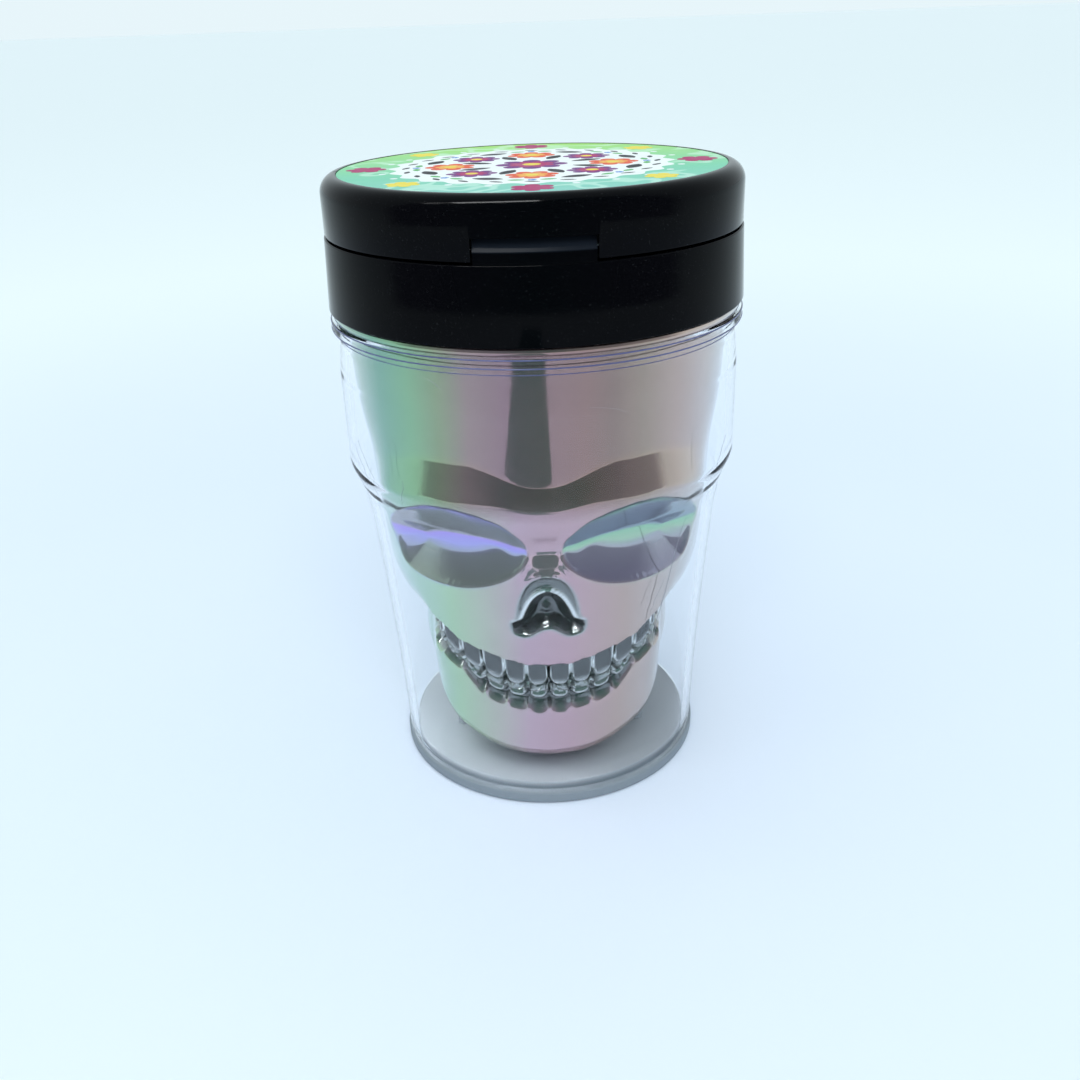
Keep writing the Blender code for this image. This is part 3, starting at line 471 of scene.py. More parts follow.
def make_scratches():
    """Fine handling scratches on the outside of the tumbler."""
    grey = plain("scratch_grey", (0.20, 0.22, 0.26), 0.6, variation=0.5, scale=900)
    lines = (
        (0.10, (48.6, 64.5), (45.0, 56.0), (41.5, 46.0), (39.0, 41.5), (37.8, 34.0)),
        (0.05, (40.6, 50.0), (37.0, 45.5), (35.5, 43.0)),
        (0.07, (-32.5, 95.0), (-28.0, 94.6), (-25.0, 93.2)),
        (0.09, (-62.0, 78.0), (-57.0, 74.0), (-53.0, 71.5)),
        (0.08, (-66.0, 76.5), (-60.0, 73.0), (-56.0, 70.0)),
        (0.09, (64.0, 76.0), (60.0, 73.0), (57.0, 70.5)),
        (0.06, (-40.0, 74.0), (-41.0, 70.5), (-43.0, 68.0)),
        (0.05, (12.0, 90.0), (18.0, 89.4), (23.0, 88.0)),
    )
    bm = bmesh.new()
    for half, *points in lines:
        spine = []
        for (a0, z0), (a1, z1) in zip(points, points[1:]):
            spine += [(a0 + (a1 - a0) * k / 6, z0 + (z1 - z0) * k / 6) for k in range(6)]
        spine.append(points[-1])
        rows = []
        for i, (angle, z) in enumerate(spine):
            wiggle = 0.25 * math.sin(i * 1.7 + z)
            if z > STEP_Z + 3:
                base = CUP_R
            elif z < STEP_Z - 4:
                base = cup_radius(z)
            else:
                base = CUP_R - 1.0
            taper = half * (0.25 + 0.75 * math.sin(math.pi * (i + 0.5) / len(spine)))
            row = []
            for off, lift in ((-taper, 0.01), (0.0, 0.05), (taper, 0.01)):
                t = math.radians(angle + wiggle + math.degrees(off / base))
                r = base + lift
                row.append(bm.verts.new((r * math.sin(t) * MM, -r * math.cos(t) * MM, z * MM)))
            rows.append(row)
        for a, b in zip(rows, rows[1:]):
            for k in (0, 1):
                bm.faces.new((a[k], a[k + 1], b[k + 1], b[k]))
    place(link("cup_scratches", mesh_from("cup_scratches", bm)), "cup", grey, slot="clear_plastic")


def make_base(frosted):
    plug = cup_radius(FOOT_Z) - CUP_WALL - 0.3
    profile = [
        (0.0, 4.0),
        (plug, 4.0, 0.4),
        (plug, 2.4, 0.1),
        (33.5, 2.4, 0.5),
        (33.5, 0.0, 0.4),
        (0.0, 0.0),
    ]
    base = lathe("base_disc", rounded(profile), 224, closed=False)
    for sx in (-1, 1):
        for sy in (-1, 1):
            top = 10.4
            x, y = sx * 20.0, sy * 8.0
            cut(base, bar("post", 1.2, (x, y, 2.4), (x, y, top), 24, 0.25), "UNION")
    place(base, "cup", frosted, "base_cap", slot="white_plastic")


# ---- skull -----------------------------------------------------------------------------------
# Outlines as (degrees from the front, height), and radii as (height, radius), all in millimetres.
SIDE = (
    (5.0, 23.4), (10.6, 24.8), (16.0, 26.0), (23.0, 26.9), (29.5, 27.1), (35.0, 26.9), (38.2, 27.0),
    (39.8, 28.4), (41.2, 30.2), (43.6, 31.8), (47.5, 33.2), (54.0, 34.1), (62.0, 34.8), (73.0, 35.5),
    (82.5, 36.9), (91.0, 37.5), (99.5, 37.6),
)
FRONT = (
    (5.0, 26.4), (9.0, 28.0), (14.0, 29.4), (20.0, 30.5), (26.0, 31.4), (33.0, 32.6), (39.0, 33.6),
    (46.0, 34.3), (54.0, 34.6), (62.0, 34.8), (67.0, 35.0), (74.0, 35.4), (80.0, 35.9), (86.0, 36.4),
    (92.0, 36.9), (99.5, 37.5),
)
BACK = (
    (5.0, 20.0), (16.0, 25.6), (26.0, 28.8), (36.0, 31.0), (47.0, 32.9), (62.0, 34.6), (80.0, 36.0),
    (99.5, 37.6),
)
EYE = (
    (4.9, 60.4), (7.6, 64.0), (13.2, 67.1), (22.0, 69.1), (31.5, 69.4), (42.0, 68.1), (52.8, 64.9),
    (60.4, 60.9), (58.6, 56.3), (54.8, 52.3), (46.6, 50.8), (36.5, 50.4), (27.0, 50.8), (18.3, 52.1),
    (10.6, 54.4), (6.2, 57.2),
)
NOSE = (
    (0.0, 54.9), (3.2, 54.6), (6.0, 53.6), (8.6, 51.3), (10.2, 48.2), (10.7, 45.2), (13.2, 44.6),
    (12.6, 41.9), (9.4, 40.9), (6.0, 40.9), (3.0, 42.3), (0.0, 43.0),
)
NOSTRIL = (
    (0.0, 51.4), (3.2, 50.8), (5.8, 49.2), (7.8, 46.8), (9.2, 44.6), (12.6, 44.2), (12.0, 42.0),
    (9.3, 41.2), (6.0, 41.3), (3.0, 42.7), (0.0, 43.4),
)
GUM = (
    (0, 34.0), (7, 34.0), (13, 34.8), (19, 35.9), (25, 36.9), (31, 37.9), (36, 39.6), (42, 41.8), (50, 43.2),
    (56, 43.0), (60, 40.5),
)
CHIN_TOP = (
    (0, 21.4), (4, 21.4), (13, 22.3), (21, 23.4), (27, 25.2), (31, 28.2), (36, 30.6), (46, 33.0), (55, 34.5),
    (60, 35.5),
)
BITE = (
    (0, 28.1), (9, 27.9), (16, 28.3), (22, 29.4), (27, 30.6), (32, 32.2), (38, 34.8), (45, 37.2), (60, 39.5),
)
TOOTH_EDGES = (0.0, 8.2, 16.4, 24.6, 33.0, 41.0, 48.0)
MM_PER_DEGREE = 0.58  # arc at the skull's mean radius


def step(low, high, value):
    t = np.clip((value - low) / (high - low), 0.0, 1.0)
    return t * t * (3 - 2 * t)


def soft_line(points, value):
    """A smooth curve through (x, y) points."""
    xs, ys = np.array([p[0] for p in points], float), np.array([p[1] for p in points], float)
    slopes = np.gradient(ys, xs)
    value = np.clip(value, xs[0], xs[-1])
    i = np.clip(np.searchsorted(xs, value) - 1, 0, len(xs) - 2)
    h = xs[i + 1] - xs[i]
    t = (value - xs[i]) / h
    a, b = ys[i], ys[i + 1]
    ma, mb = slopes[i] * h, slopes[i + 1] * h
    start = (2 * t**3 - 3 * t**2 + 1) * a + (t**3 - 2 * t**2 + t) * ma
    return start + (3 * t**2 - 2 * t**3) * b + (t**3 - t**2) * mb


def smooth_loop(points, rounds=3):
    """A closed outline, rounded by corner cutting. Degrees become millimetres of arc."""
    loop = np.array(points, float)
    loop[:, 0] *= MM_PER_DEGREE
    for _ in range(rounds):
        after = np.roll(loop, -1, axis=0)
        loop = np.stack([loop * 0.75 + after * 0.25, loop * 0.25 + after * 0.75], axis=1).reshape(-1, 2)
    return loop


def inside(loop, x, z):
    """Distance to the outline in millimetres, positive inside it."""
    best = np.full(x.shape, 1e9)
    crossings = np.zeros(x.shape, int)
    for (ax, az), (bx, bz) in zip(loop, np.roll(loop, -1, axis=0)):
        dx, dz = bx - ax, bz - az
        t = np.clip(((x - ax) * dx + (z - az) * dz) / (dx * dx + dz * dz + 1e-12), 0, 1)
        best = np.minimum(best, (x - ax - t * dx) ** 2 + (z - az - t * dz) ** 2)
        if az != bz:
            over = (az > z) != (bz > z)
            crossings += over & (x < (bx - ax) * (z - az) / (bz - az) + ax)
    return np.sqrt(best) * np.where(crossings % 2 == 1, 1.0, -1.0)


EYE_LOOP = smooth_loop(EYE)
NOSE_LOOP = smooth_loop(NOSE + tuple((-a, z) for a, z in NOSE[-2:0:-1]), 2)
NOSTRIL_LOOP = smooth_loop(NOSTRIL + tuple((-a, z) for a, z in NOSTRIL[-2:0:-1]), 2)


def skull(angle, z):
    """Radius of the skull, its bare and eye masks, and its mask of painted shade (negative where a highlight is
    painted), for arrays of degrees and heights.
    """
    side = np.abs(angle)
    x = side * MM_PER_DEGREE
    front = 1 - step(40, 68, side)
    rear = step(88, 135, side)
    radius = soft_line(SIDE, z) * (1 - front - rear) + soft_line(FRONT, z) * front + soft_line(BACK, z) * rear
    # brow: a ridge whose upper slope starts on a shallow V
    top = 73.4 + 4.6 * step(2, 24, side) - 1.6 * step(34, 60, side)
    low = 69.2 + 1.3 * step(2, 16, side) - 3.4 * step(34, 62, side)
    fade = 1 - step(52, 72, side)
    rise = np.clip((top - z) / (top - low), 0, 1)
    height = 2.0 + 0.6 * step(4, 24, side)
    ridge = height * np.where(z > low, rise, np.clip(1 - (low - z) / 9.5, 0, 1))
    radius = radius + fade * ridge + 0.12 * fade * np.exp(-(((z - top) / 0.5) ** 2))
    # eye sockets: bowls with a crisp rim and a fine lip
    s = inside(EYE_LOOP, x, z)
    bowl = 1 - (1 - np.clip(s / 9.4, 0, 1)) ** 2.0
    radius = radius - 3.7 * bowl + 0.30 * np.exp(-((s / 0.8) ** 2)) * (s < 0.6)
    eye = step(-0.1, 0.5, s)
    # bridge and nose: a terrace under an arch, and a dark well inside a second arch
    middle = (angle - 0.4) * MM_PER_DEGREE
    radius = radius - 1.25 * np.exp(-((middle / 4.6) ** 4) - ((z - 60.6) / 3.4) ** 2)
    n = inside(NOSE_LOOP, middle, z)
    arch = inside(NOSTRIL_LOOP, middle, z)
    radius = radius - 1.1 * step(0.0, 0.9, n) - 2.6 * step(0.1, 2.4, arch)
    radius = radius + 0.34 * np.exp(-(((n + 0.25) / 0.45) ** 2))
    radius = radius + 0.38 * np.exp(-(((arch + 0.25) / 0.42) ** 2)) * step(42.5, 44.5, z)
    radius = radius + 0.9 * np.exp(-((x / 1.1) ** 2) - ((z - 46.2) / 1.0) ** 2)
    # mouth: a recess with two rows of teeth standing in it
    gum, chin, bite = soft_line(GUM, side), soft_line(CHIN_TOP, side), soft_line(BITE, side)
    edges = np.array(TOOTH_EDGES)
    which = np.clip(np.searchsorted(edges, side, side="right") - 1, 0, len(edges) - 2)
    u = (side - edges[which]) / (edges[which + 1] - edges[which]) * 2 - 1
    across = np.clip(1 - np.abs(u) ** 3.2, 0, 1) ** 0.6
    gum = gum + 0.45 * across - 0.2
    chin = chin + 1.5 * (1 - across)
    ends = 1 - step(50, 58, side)
    within = np.clip(np.minimum((gum - z) / 0.6, (z - chin) / 1.9), 0, 1) * ends
    upper = np.clip((gum - z) / np.maximum(gum - bite, 0.5), 0, 1.2)
    lower = np.clip((bite - z) / np.maximum(bite - chin, 0.5), 0, 1)
    wide = np.abs(u) ** 2.6
    u_top = 1 - (wide + np.clip((upper - 0.42) / 0.60, 0, None) ** 2.3) ** 0.42
    u_low = 1 - (wide + np.clip((lower - 0.14) / 0.40, 0, None) ** 2.2) ** 0.42
    top_tooth = 2.1 * np.clip(u_top / 0.24, 0, 1) ** 0.55 * step(0.0, 0.10, upper)
    facet = step(0.15, 0.27, u_top) * np.clip(1 - upper / 0.80, 0, 1)
    low_tooth = 2.0 * np.clip(u_low / 0.30, 0, 1) ** 0.55 * step(0.0, 0.08, lower)
    low_tooth = low_tooth - 0.55 * np.exp(-(((lower - 0.22) / 0.055) ** 2))
    shrink = 1 - 0.30 * step(20, 48, side)
    teeth = np.where(z > bite, top_tooth - 1.35 * facet, np.where(u_low > 0, low_tooth, 0.0)) * shrink
    radius = radius - within * 2.4 + np.where(within > 0, teeth * within, 0)
    # mouth corners: a hollow crossed by a few upright folds
    corner = np.exp(-(((side - 52) / 7.5) ** 2) - ((z - 39.0) / 4.6) ** 2)
    folds = np.sin((side - 40 + (z - 39) * 0.9) * 1.05)
    radius = radius - 2.0 * corner + 0.42 * folds * step(0.25, 0.7, corner)
    bare = np.maximum(step(0.05, 0.5, within), step(-0.4, 0.1, n))
    bare = np.maximum(bare, 0.85 * step(0.30, 0.7, corner))
    # painted shade: dark in the nose, in the gaps between the teeth and on the up-facing facets of the upper
    # teeth; glint is a painted highlight on the tooth rims and along the nose arch
    shade = np.maximum(0.75 * step(0.0, 1.0, arch), 0.6 * step(0.0, 0.6, n))
    gap = within * np.where(z > bite, 1 - step(-0.05, 0.03, u_top), 1 - step(-0.05, 0.03, u_low)) * 0.7
    shield = within * (z > bite) * step(0.17, 0.26, u_top) * (1 - step(0.62, 0.86, upper)) * 0.78
    shade = np.maximum.reduce([shade, gap, shield])
    edge = np.where(z > bite, u_top, u_low)
    glint = within * step(0.0, 0.06, edge) * (1 - step(0.14, 0.22, edge))
    glint = np.maximum(glint, np.exp(-(((arch + 0.2) / 0.4) ** 2)) * step(44.0, 45.5, z))
    shade = shade * (1 - glint) - glint
    # room for the tumbler's wall
    lower_limit = cup_radius(np.minimum(z, 64.0)) - CUP_WALL - 0.25
    limit = lower_limit + (CUP_R - CUP_WALL - 0.5 - lower_limit) * np.clip((z - 63.4) / 5.6, 0, 1)
    limit = np.where(z > 88, CUP_R - 0.6 - CUP_WALL - 0.4, limit)
    return np.minimum(radius, limit), bare, eye, shade


JAW_EDGE = ((0, 12.2), (17, 13.6), (33, 18.0), (51, 23.6), (68, 28.0), (90, 29.5), (180, 29.5))
SKULL_FOOT, SKULL_WALL = 5.0, 1.6


def skull_skin(angles, heights, wall):
    """Grids of x, y, z and masks for one skin of the skull, its underside first."""
    turns = np.linspace(0.98, 0.03, 26)
    edge = soft_line(JAW_EDGE, np.minimum(np.abs(angles), 180))
    edge_r = skull(angles, edge)[0] - wall
    front = 1 - step(10, 75, np.abs(angles))
    power = 1.06 - 0.38 * front
    rows = []
    for turn in turns:
        t = turn * math.pi / 2
        r = edge_r * math.cos(t) ** power
        z = edge - (edge - SKULL_FOOT - wall) * math.sin(t) ** power
        rows.append((r, z, *[np.zeros_like(angles)] * 3))
    top = heights[-1]
    shares = (heights - heights[0]) / (top - heights[0])
    for share in shares:
        z = edge + (top - edge) * share
        r, *masks = skull(angles, z)
        rows.append((r - wall, z, *masks))
    return rows


def make_skull(pearl):
    half = np.concatenate([np.arange(0, 62, 0.6), np.arange(62, 90, 1.4), np.arange(90, 180, 3.0)])
    angles = np.concatenate([half, [180.0], -half[:0:-1]])
    angles = np.where(angles > 180, angles - 360, angles)
    bands = ((8.2, 19, 0.9), (19, 45, 0.34), (45, 80, 0.6), (80, 99, 2.0))
    heights = np.concatenate([np.arange(*band) for band in bands] + [[FLANGE_Z]])
    outer = skull_skin(angles, heights, 0.0)
    inner = skull_skin(angles, np.append(heights[:-1:3], heights[-1]), SKULL_WALL)
    flange_top = FLANGE_Z + 1.2
    one = np.ones_like(angles)
    extra = [
        (38.2, FLANGE_Z - 0.15), (FLANGE_R - 0.15, FLANGE_Z - 0.05), (FLANGE_R, FLANGE_Z + 0.15),
        (FLANGE_R, flange_top - 0.15), (FLANGE_R - 0.15, flange_top), (NECK_R + 0.2, flange_top),
        (NECK_R, flange_top + 0.2), (NECK_R, NECK_TOP_Z - 0.2), (NECK_R - 0.2, NECK_TOP_Z),
        (NECK_BORE_R + 0.2, NECK_TOP_Z), (NECK_BORE_R, NECK_TOP_Z - 0.2),
        (NECK_BORE_R, flange_top + 0.6),
    ]
    rows = outer[:-1]
    rows.append((outer[-1][0], one * 99.3, *[one * 0] * 3))
    rows += [(one * r, one * z, *[one * 0] * 3) for r, z in extra] + inner[::-1]
    count = len(angles)
    xs, ys = np.sin(np.radians(angles)), -np.cos(np.radians(angles))
    verts = np.concatenate([np.stack([row[0] * xs, row[0] * ys, row[1] + 0 * xs], axis=1) for row in rows])
    masks = [np.append(np.concatenate([row[i] for row in rows]), [0, 0]) for i in (2, 3, 4)]
    faces = []
    for i in range(len(rows) - 1):
        a = i * count
        for k in range(count):
            j = (k + 1) % count
            faces.append((a + k, a + j, a + count + j, a + count + k))
    poles = [len(verts), len(verts) + 1]
    verts = np.concatenate([verts, [[0, 0, SKULL_FOOT], [0, 0, SKULL_FOOT + SKULL_WALL]]])
    last = (len(rows) - 1) * count
    for k in range(count):
        j = (k + 1) % count
        faces.append((j, k, poles[0]))
        faces.append((last + k, last + j, poles[1]))
    mesh = bpy.data.meshes.new("skull_pearl_liner")
    mesh.from_pydata((verts * MM).tolist(), [], faces)
    for name, values in zip(("bare", "eye", "shade"), masks):
        mesh.attributes.new(name, "FLOAT", "POINT").data.foreach_set("value", values.astype(np.float32))
    mesh.validate()
    obj = link("skull_pearl_liner", mesh, 60)
    place(obj, "cup", pearl, "skull_liner", slot="pearl_chrome")
    return obj


# ---- collar and lid ----------------------------------------------------------------------------
def sector_lug(name, profile, half, steps=40):
    """A short arc of a profile of (r, z) at the front, half its width each side."""
    bm = bmesh.new()
    rings = []
    for k in range(steps + 1):
        x = -half + 2 * half * k / steps
        ring = []
        for r, z in profile:
            ring.append(bm.verts.new((x * MM, -math.sqrt(max(r * r - x * x, 0)) * MM, z * MM)))
        rings.append(ring)
    count = len(profile)
    for a, b in zip(rings, rings[1:]):
        for k in range(count):
            j = (k + 1) % count
            bm.faces.new((a[k], a[j], b[j], b[k]))
    bm.faces.new(rings[0][::-1])
    bm.faces.new(rings[-1])
    return link(name, mesh_from(name, bm))


def make_collar(black):
    profile = [
        (34.3, COLLAR_TOP_Z, 0.2),
        (BEAD_R - 0.4, COLLAR_TOP_Z, 0.15),
        (BEAD_R - 0.4, 116.3, 0.35),
        (BEAD_R + 0.4, 116.3, 0.35),
        (BEAD_R + 0.4, COLLAR_TOP_Z, 0.15),
        (COLLAR_TOP_R, COLLAR_TOP_Z, 0.35),
        (COLLAR_R, COLLAR_Z, 0.3),
        (38.5, COLLAR_Z, 0.3),
        (38.5, DECK_Z, 0.3),
        (30.9, DECK_Z, 0.15),
        (30.9, DECK_Z + 0.7, 0.15),
        (34.3, DECK_Z + 0.7, 0.1),
    ]
    collar = lathe("collar_ring", rounded(profile), 256)
    top = LID_Z + LUG_H - 0.3
    r = LID_R - 0.05
    lug_profile = [(r - 1.9, top, 0.15), (r - 1.7, top, 0.1), (r, top - 1.9, 0.25)]
    lug_profile += [(r, DECK_Z + 0.9), (r - 1.9, DECK_Z + 0.9)]
    lug = sector_lug("collar_lug", rounded(lug_profile, 4), LUG_W / 2 - 0.3)
    place(lug, "collar", painted_light_chamfer_black(top - 2.0), slot="black_plastic")
    for side in (-1, 1):
        x0, x1 = sorted((side * (KNUCKLE_HALF + 0.3), side * (KNUCKLE_HALF + 0.3 + EAR_W)))
        web = block("web", (x0, COLLAR_TOP_R - 2.9, DECK_Z - 1.2), (x1, PIN_Y, COLLAR_TOP_Z - 0.1))
        cut(collar, web, "UNION")
        cut(collar, bar("ear", BARREL_R, (x0, PIN_Y, PIN_Z), (x1, PIN_Y, PIN_Z), 56, 0.25), "UNION")
    cut(collar, bar("bore", PIN_R + 0.1, (-30, PIN_Y, PIN_Z), (30, PIN_Y, PIN_Z), 32))
    place(collar, "collar", black, "collar", slot="black_plastic")


def make_lid(black):
    fillet = []
    for i in range(13):
        t = math.pi / 2 * (1 - i / 12)
        fillet.append((LID_R - 3.2 + 0.25 + 2.95 * math.cos(t), LID_TOP_Z - 3.2 + 3.2 * math.sin(t)))
    inner = LID_R - 2.0
    profile = [(0.0, LID_TOP_Z - 0.35), (LABEL_R, LID_TOP_Z - 0.35), (LABEL_R, LID_TOP_Z)]
    profile += fillet
    profile += [(LID_R, LID_Z + 0.35), (LID_R - 0.1, LID_Z + 0.1), (LID_R - 0.35, LID_Z)]
    profile += [(inner + 0.2, LID_Z), (inner, LID_Z + 0.2), (inner, CEILING_Z - 1.5)]
    profile += [(inner - 0.45, CEILING_Z - 0.45), (inner - 1.5, CEILING_Z), (0.0, CEILING_Z)]
    lid = lathe("lid_outer_shell", profile, 256, closed=False)
    for x, y in BOSSES:
        boss = bar("boss", 2.6, (x, y, INNER_CAP_TOP_Z + 0.3), (x, y, CEILING_Z + 0.8), 28)
        cut(lid, boss, "UNION")
        cut(lid, bar("pilot", 1.25, (x, y, INNER_CAP_TOP_Z - 1), (x, y, CEILING_Z - 0.4), 20))
    half = LUG_W / 2
    cut(lid, block("notch", (-half, -60, 100), (half, -36.0, LID_Z + LUG_H)))
    low, high = (-KNUCKLE_HALF, LID_R - 1.4, LID_Z + 0.15), (KNUCKLE_HALF, PIN_Y, PIN_Z + BARREL_R - 0.1)
    web = block("web", low, high)
    cut(lid, web, "UNION")
    knuckle = bar("knuckle", BARREL_R, (-KNUCKLE_HALF, PIN_Y, PIN_Z), (KNUCKLE_HALF, PIN_Y, PIN_Z), 56, 0.25)
    cut(lid, knuckle, "UNION")
    cut(lid, bar("bore", PIN_R + 0.1, (-30, PIN_Y, PIN_Z), (30, PIN_Y, PIN_Z), 32))
    place(lid, "lid", black, "lid_shell", slot="black_plastic")


# ---- label -------------------------------------------------------------------------------------
def flower(cx, cy, r, petals, depth=0.34, turn=0.0, steps=8):
    """The outline of a flower of round petals."""
    points = []
    for k in range(petals * steps):
        a = math.tau * k / (petals * steps)
        reach = r * (1 - depth + depth * abs(math.cos(petals * a / 2)) ** 0.6)
        points.append((cx + reach * math.cos(a + turn), cy + reach * math.sin(a + turn)))
    return points


def leaf(cx, cy, length, wide, turn):
    """The outline of a pointed leaf."""
    points = []
    for k in range(20):
        a = math.tau * k / 20
        u, v = length * math.cos(a), wide * math.sin(a) * abs(math.sin(a)) ** 0.7
        x, y = u * math.cos(turn) - v * math.sin(turn), u * math.sin(turn) + v * math.cos(turn)
        points.append((cx + x, cy + y))
    return points


def printed(name, outlines, layer, color):
    """Flat shapes on the label, one printed colour."""
    bm = bmesh.new()
    low, high = LABEL_FACE_Z * MM, (LABEL_FACE_Z + 0.006 + 0.005 * layer) * MM
    for outline in outlines:
        top = [bm.verts.new((x * MM, y * MM, high)) for x, y in outline]
        bottom = [bm.verts.new((x * MM, y * MM, low)) for x, y in outline]
        bm.faces.new(top)
        bm.faces.new(bottom[::-1])
        for k in range(len(top)):
            j = (k + 1) % len(top)
            bm.faces.new((top[j], top[k], bottom[k], bottom[j]))
    ink = plain(name, color, 0.55, variation=0.06, scale=260, IOR=1.3)
    place(link(name, mesh_from(name, bm)), "lid", ink, slot="printed_label")


BLOOMS_R, OUTER_BLOOMS_R = 15.5, 31.6  # rings of blooms on the medallion and outside it


def ring_of(count, radius, start, shape):
    """A shape repeated evenly round the label's middle; the shape is a function of x, y and angle."""
    turns = [start + math.tau * k / count for k in range(count)]
    return [shape(radius * math.cos(a), radius * math.sin(a), a) for a in turns]


def blooms(count, radius, start, size, petals, depth=0.34, turned=True):
    """Flowers evenly round the label's middle."""
    return ring_of(count, radius, start, lambda x, y, a: flower(x, y, size, petals, depth, a if turned else 0.0))


def make_label():
    """A printed disc: a round medallion of blooms and leaves, alike all the way round, on a green ground."""
    disc = [(0, LABEL_FACE_Z), (LABEL_R - 0.15, LABEL_FACE_Z), (LABEL_R - 0.1, LABEL_FACE_Z - 0.05)]
    disc += [(LABEL_R - 0.1, LABEL_FACE_Z - 0.2), (0, LABEL_FACE_Z - 0.2)]
    ground = lathe("label_disc", disc, 192, closed=False)
    place(ground, "lid", printed_ground(), "lid_label", slot="printed_label")
    quarter, eighth = math.tau / 4, math.tau / 8
    medallion = []
    for k in range(264):
        a = math.tau * k / 264
        reach = 26.5 * (1 + 0.03 * math.cos(24 * a))
        medallion.append((reach * math.cos(a), reach * math.sin(a)))
    printed("print_white", [medallion], 0, (0.84, 0.87, 0.86))
    dark = ring_of(24, 24.0, 0.0, lambda x, y, a: leaf(x, y, 1.5, 0.55, a + 1.2))
    dark += ring_of(8, 11.5, eighth / 2, lambda x, y, a: leaf(x, y, 3.2, 1.3, a))
    dark += ring_of(8, 20.4, eighth / 2, lambda x, y, a: leaf(x, y, 3.0, 1.4, a + quarter))
    printed("print_dark", dark, 1, (0.018, 0.020, 0.028))
    beads = blooms(24, 28.6, 0.0, 0.7, 8, 0.08, False)
    printed("print_beads", beads, 2, (0.80, 0.84, 0.84))
    purple = blooms(4, BLOOMS_R, eighth, 4.7, 8)
    printed("print_purple", [flower(0, 0, 6.9, 8)] + purple, 3, (0.17, 0.025, 0.20))
    magenta = blooms(4, BLOOMS_R, eighth, 2.9, 8)
    magenta += blooms(4, OUTER_BLOOMS_R, 0.0, 3.9, 6)
    printed("print_magenta", [flower(0, 0, 4.5, 8, turn=0.39)] + magenta, 4, (0.42, 0.025, 0.14))
    printed("print_orange", blooms(4, BLOOMS_R, 0.0, 4.9, 7), 4, (0.74, 0.10, 0.035))
    printed("print_apricot", blooms(4, BLOOMS_R, 0.0, 2.9, 7), 5, (0.86, 0.42, 0.08))
    yellow = blooms(8, BLOOMS_R, 0.0, 1.2, 8, 0.1, False)
    yellow += blooms(4, OUTER_BLOOMS_R, eighth, 3.1, 6)
    printed("print_yellow", [flower(0, 0, 1.8, 8, 0.1)] + yellow, 6, (0.82, 0.66, 0.07))
    sprigs = ring_of(8, 21.9, 0.13, lambda x, y, a: leaf(x, y, 1.5, 0.7, a + quarter))
    sprigs += ring_of(8, 21.9, -0.13, lambda x, y, a: leaf(x, y, 1.5, 0.7, a + quarter))
    printed("print_sprigs", sprigs, 4, (0.10, 0.42, 0.12))
    printed("print_blue", blooms(8, 22.0, 0.0, 0.8, 5, turned=False), 4, (0.06, 0.22, 0.62))


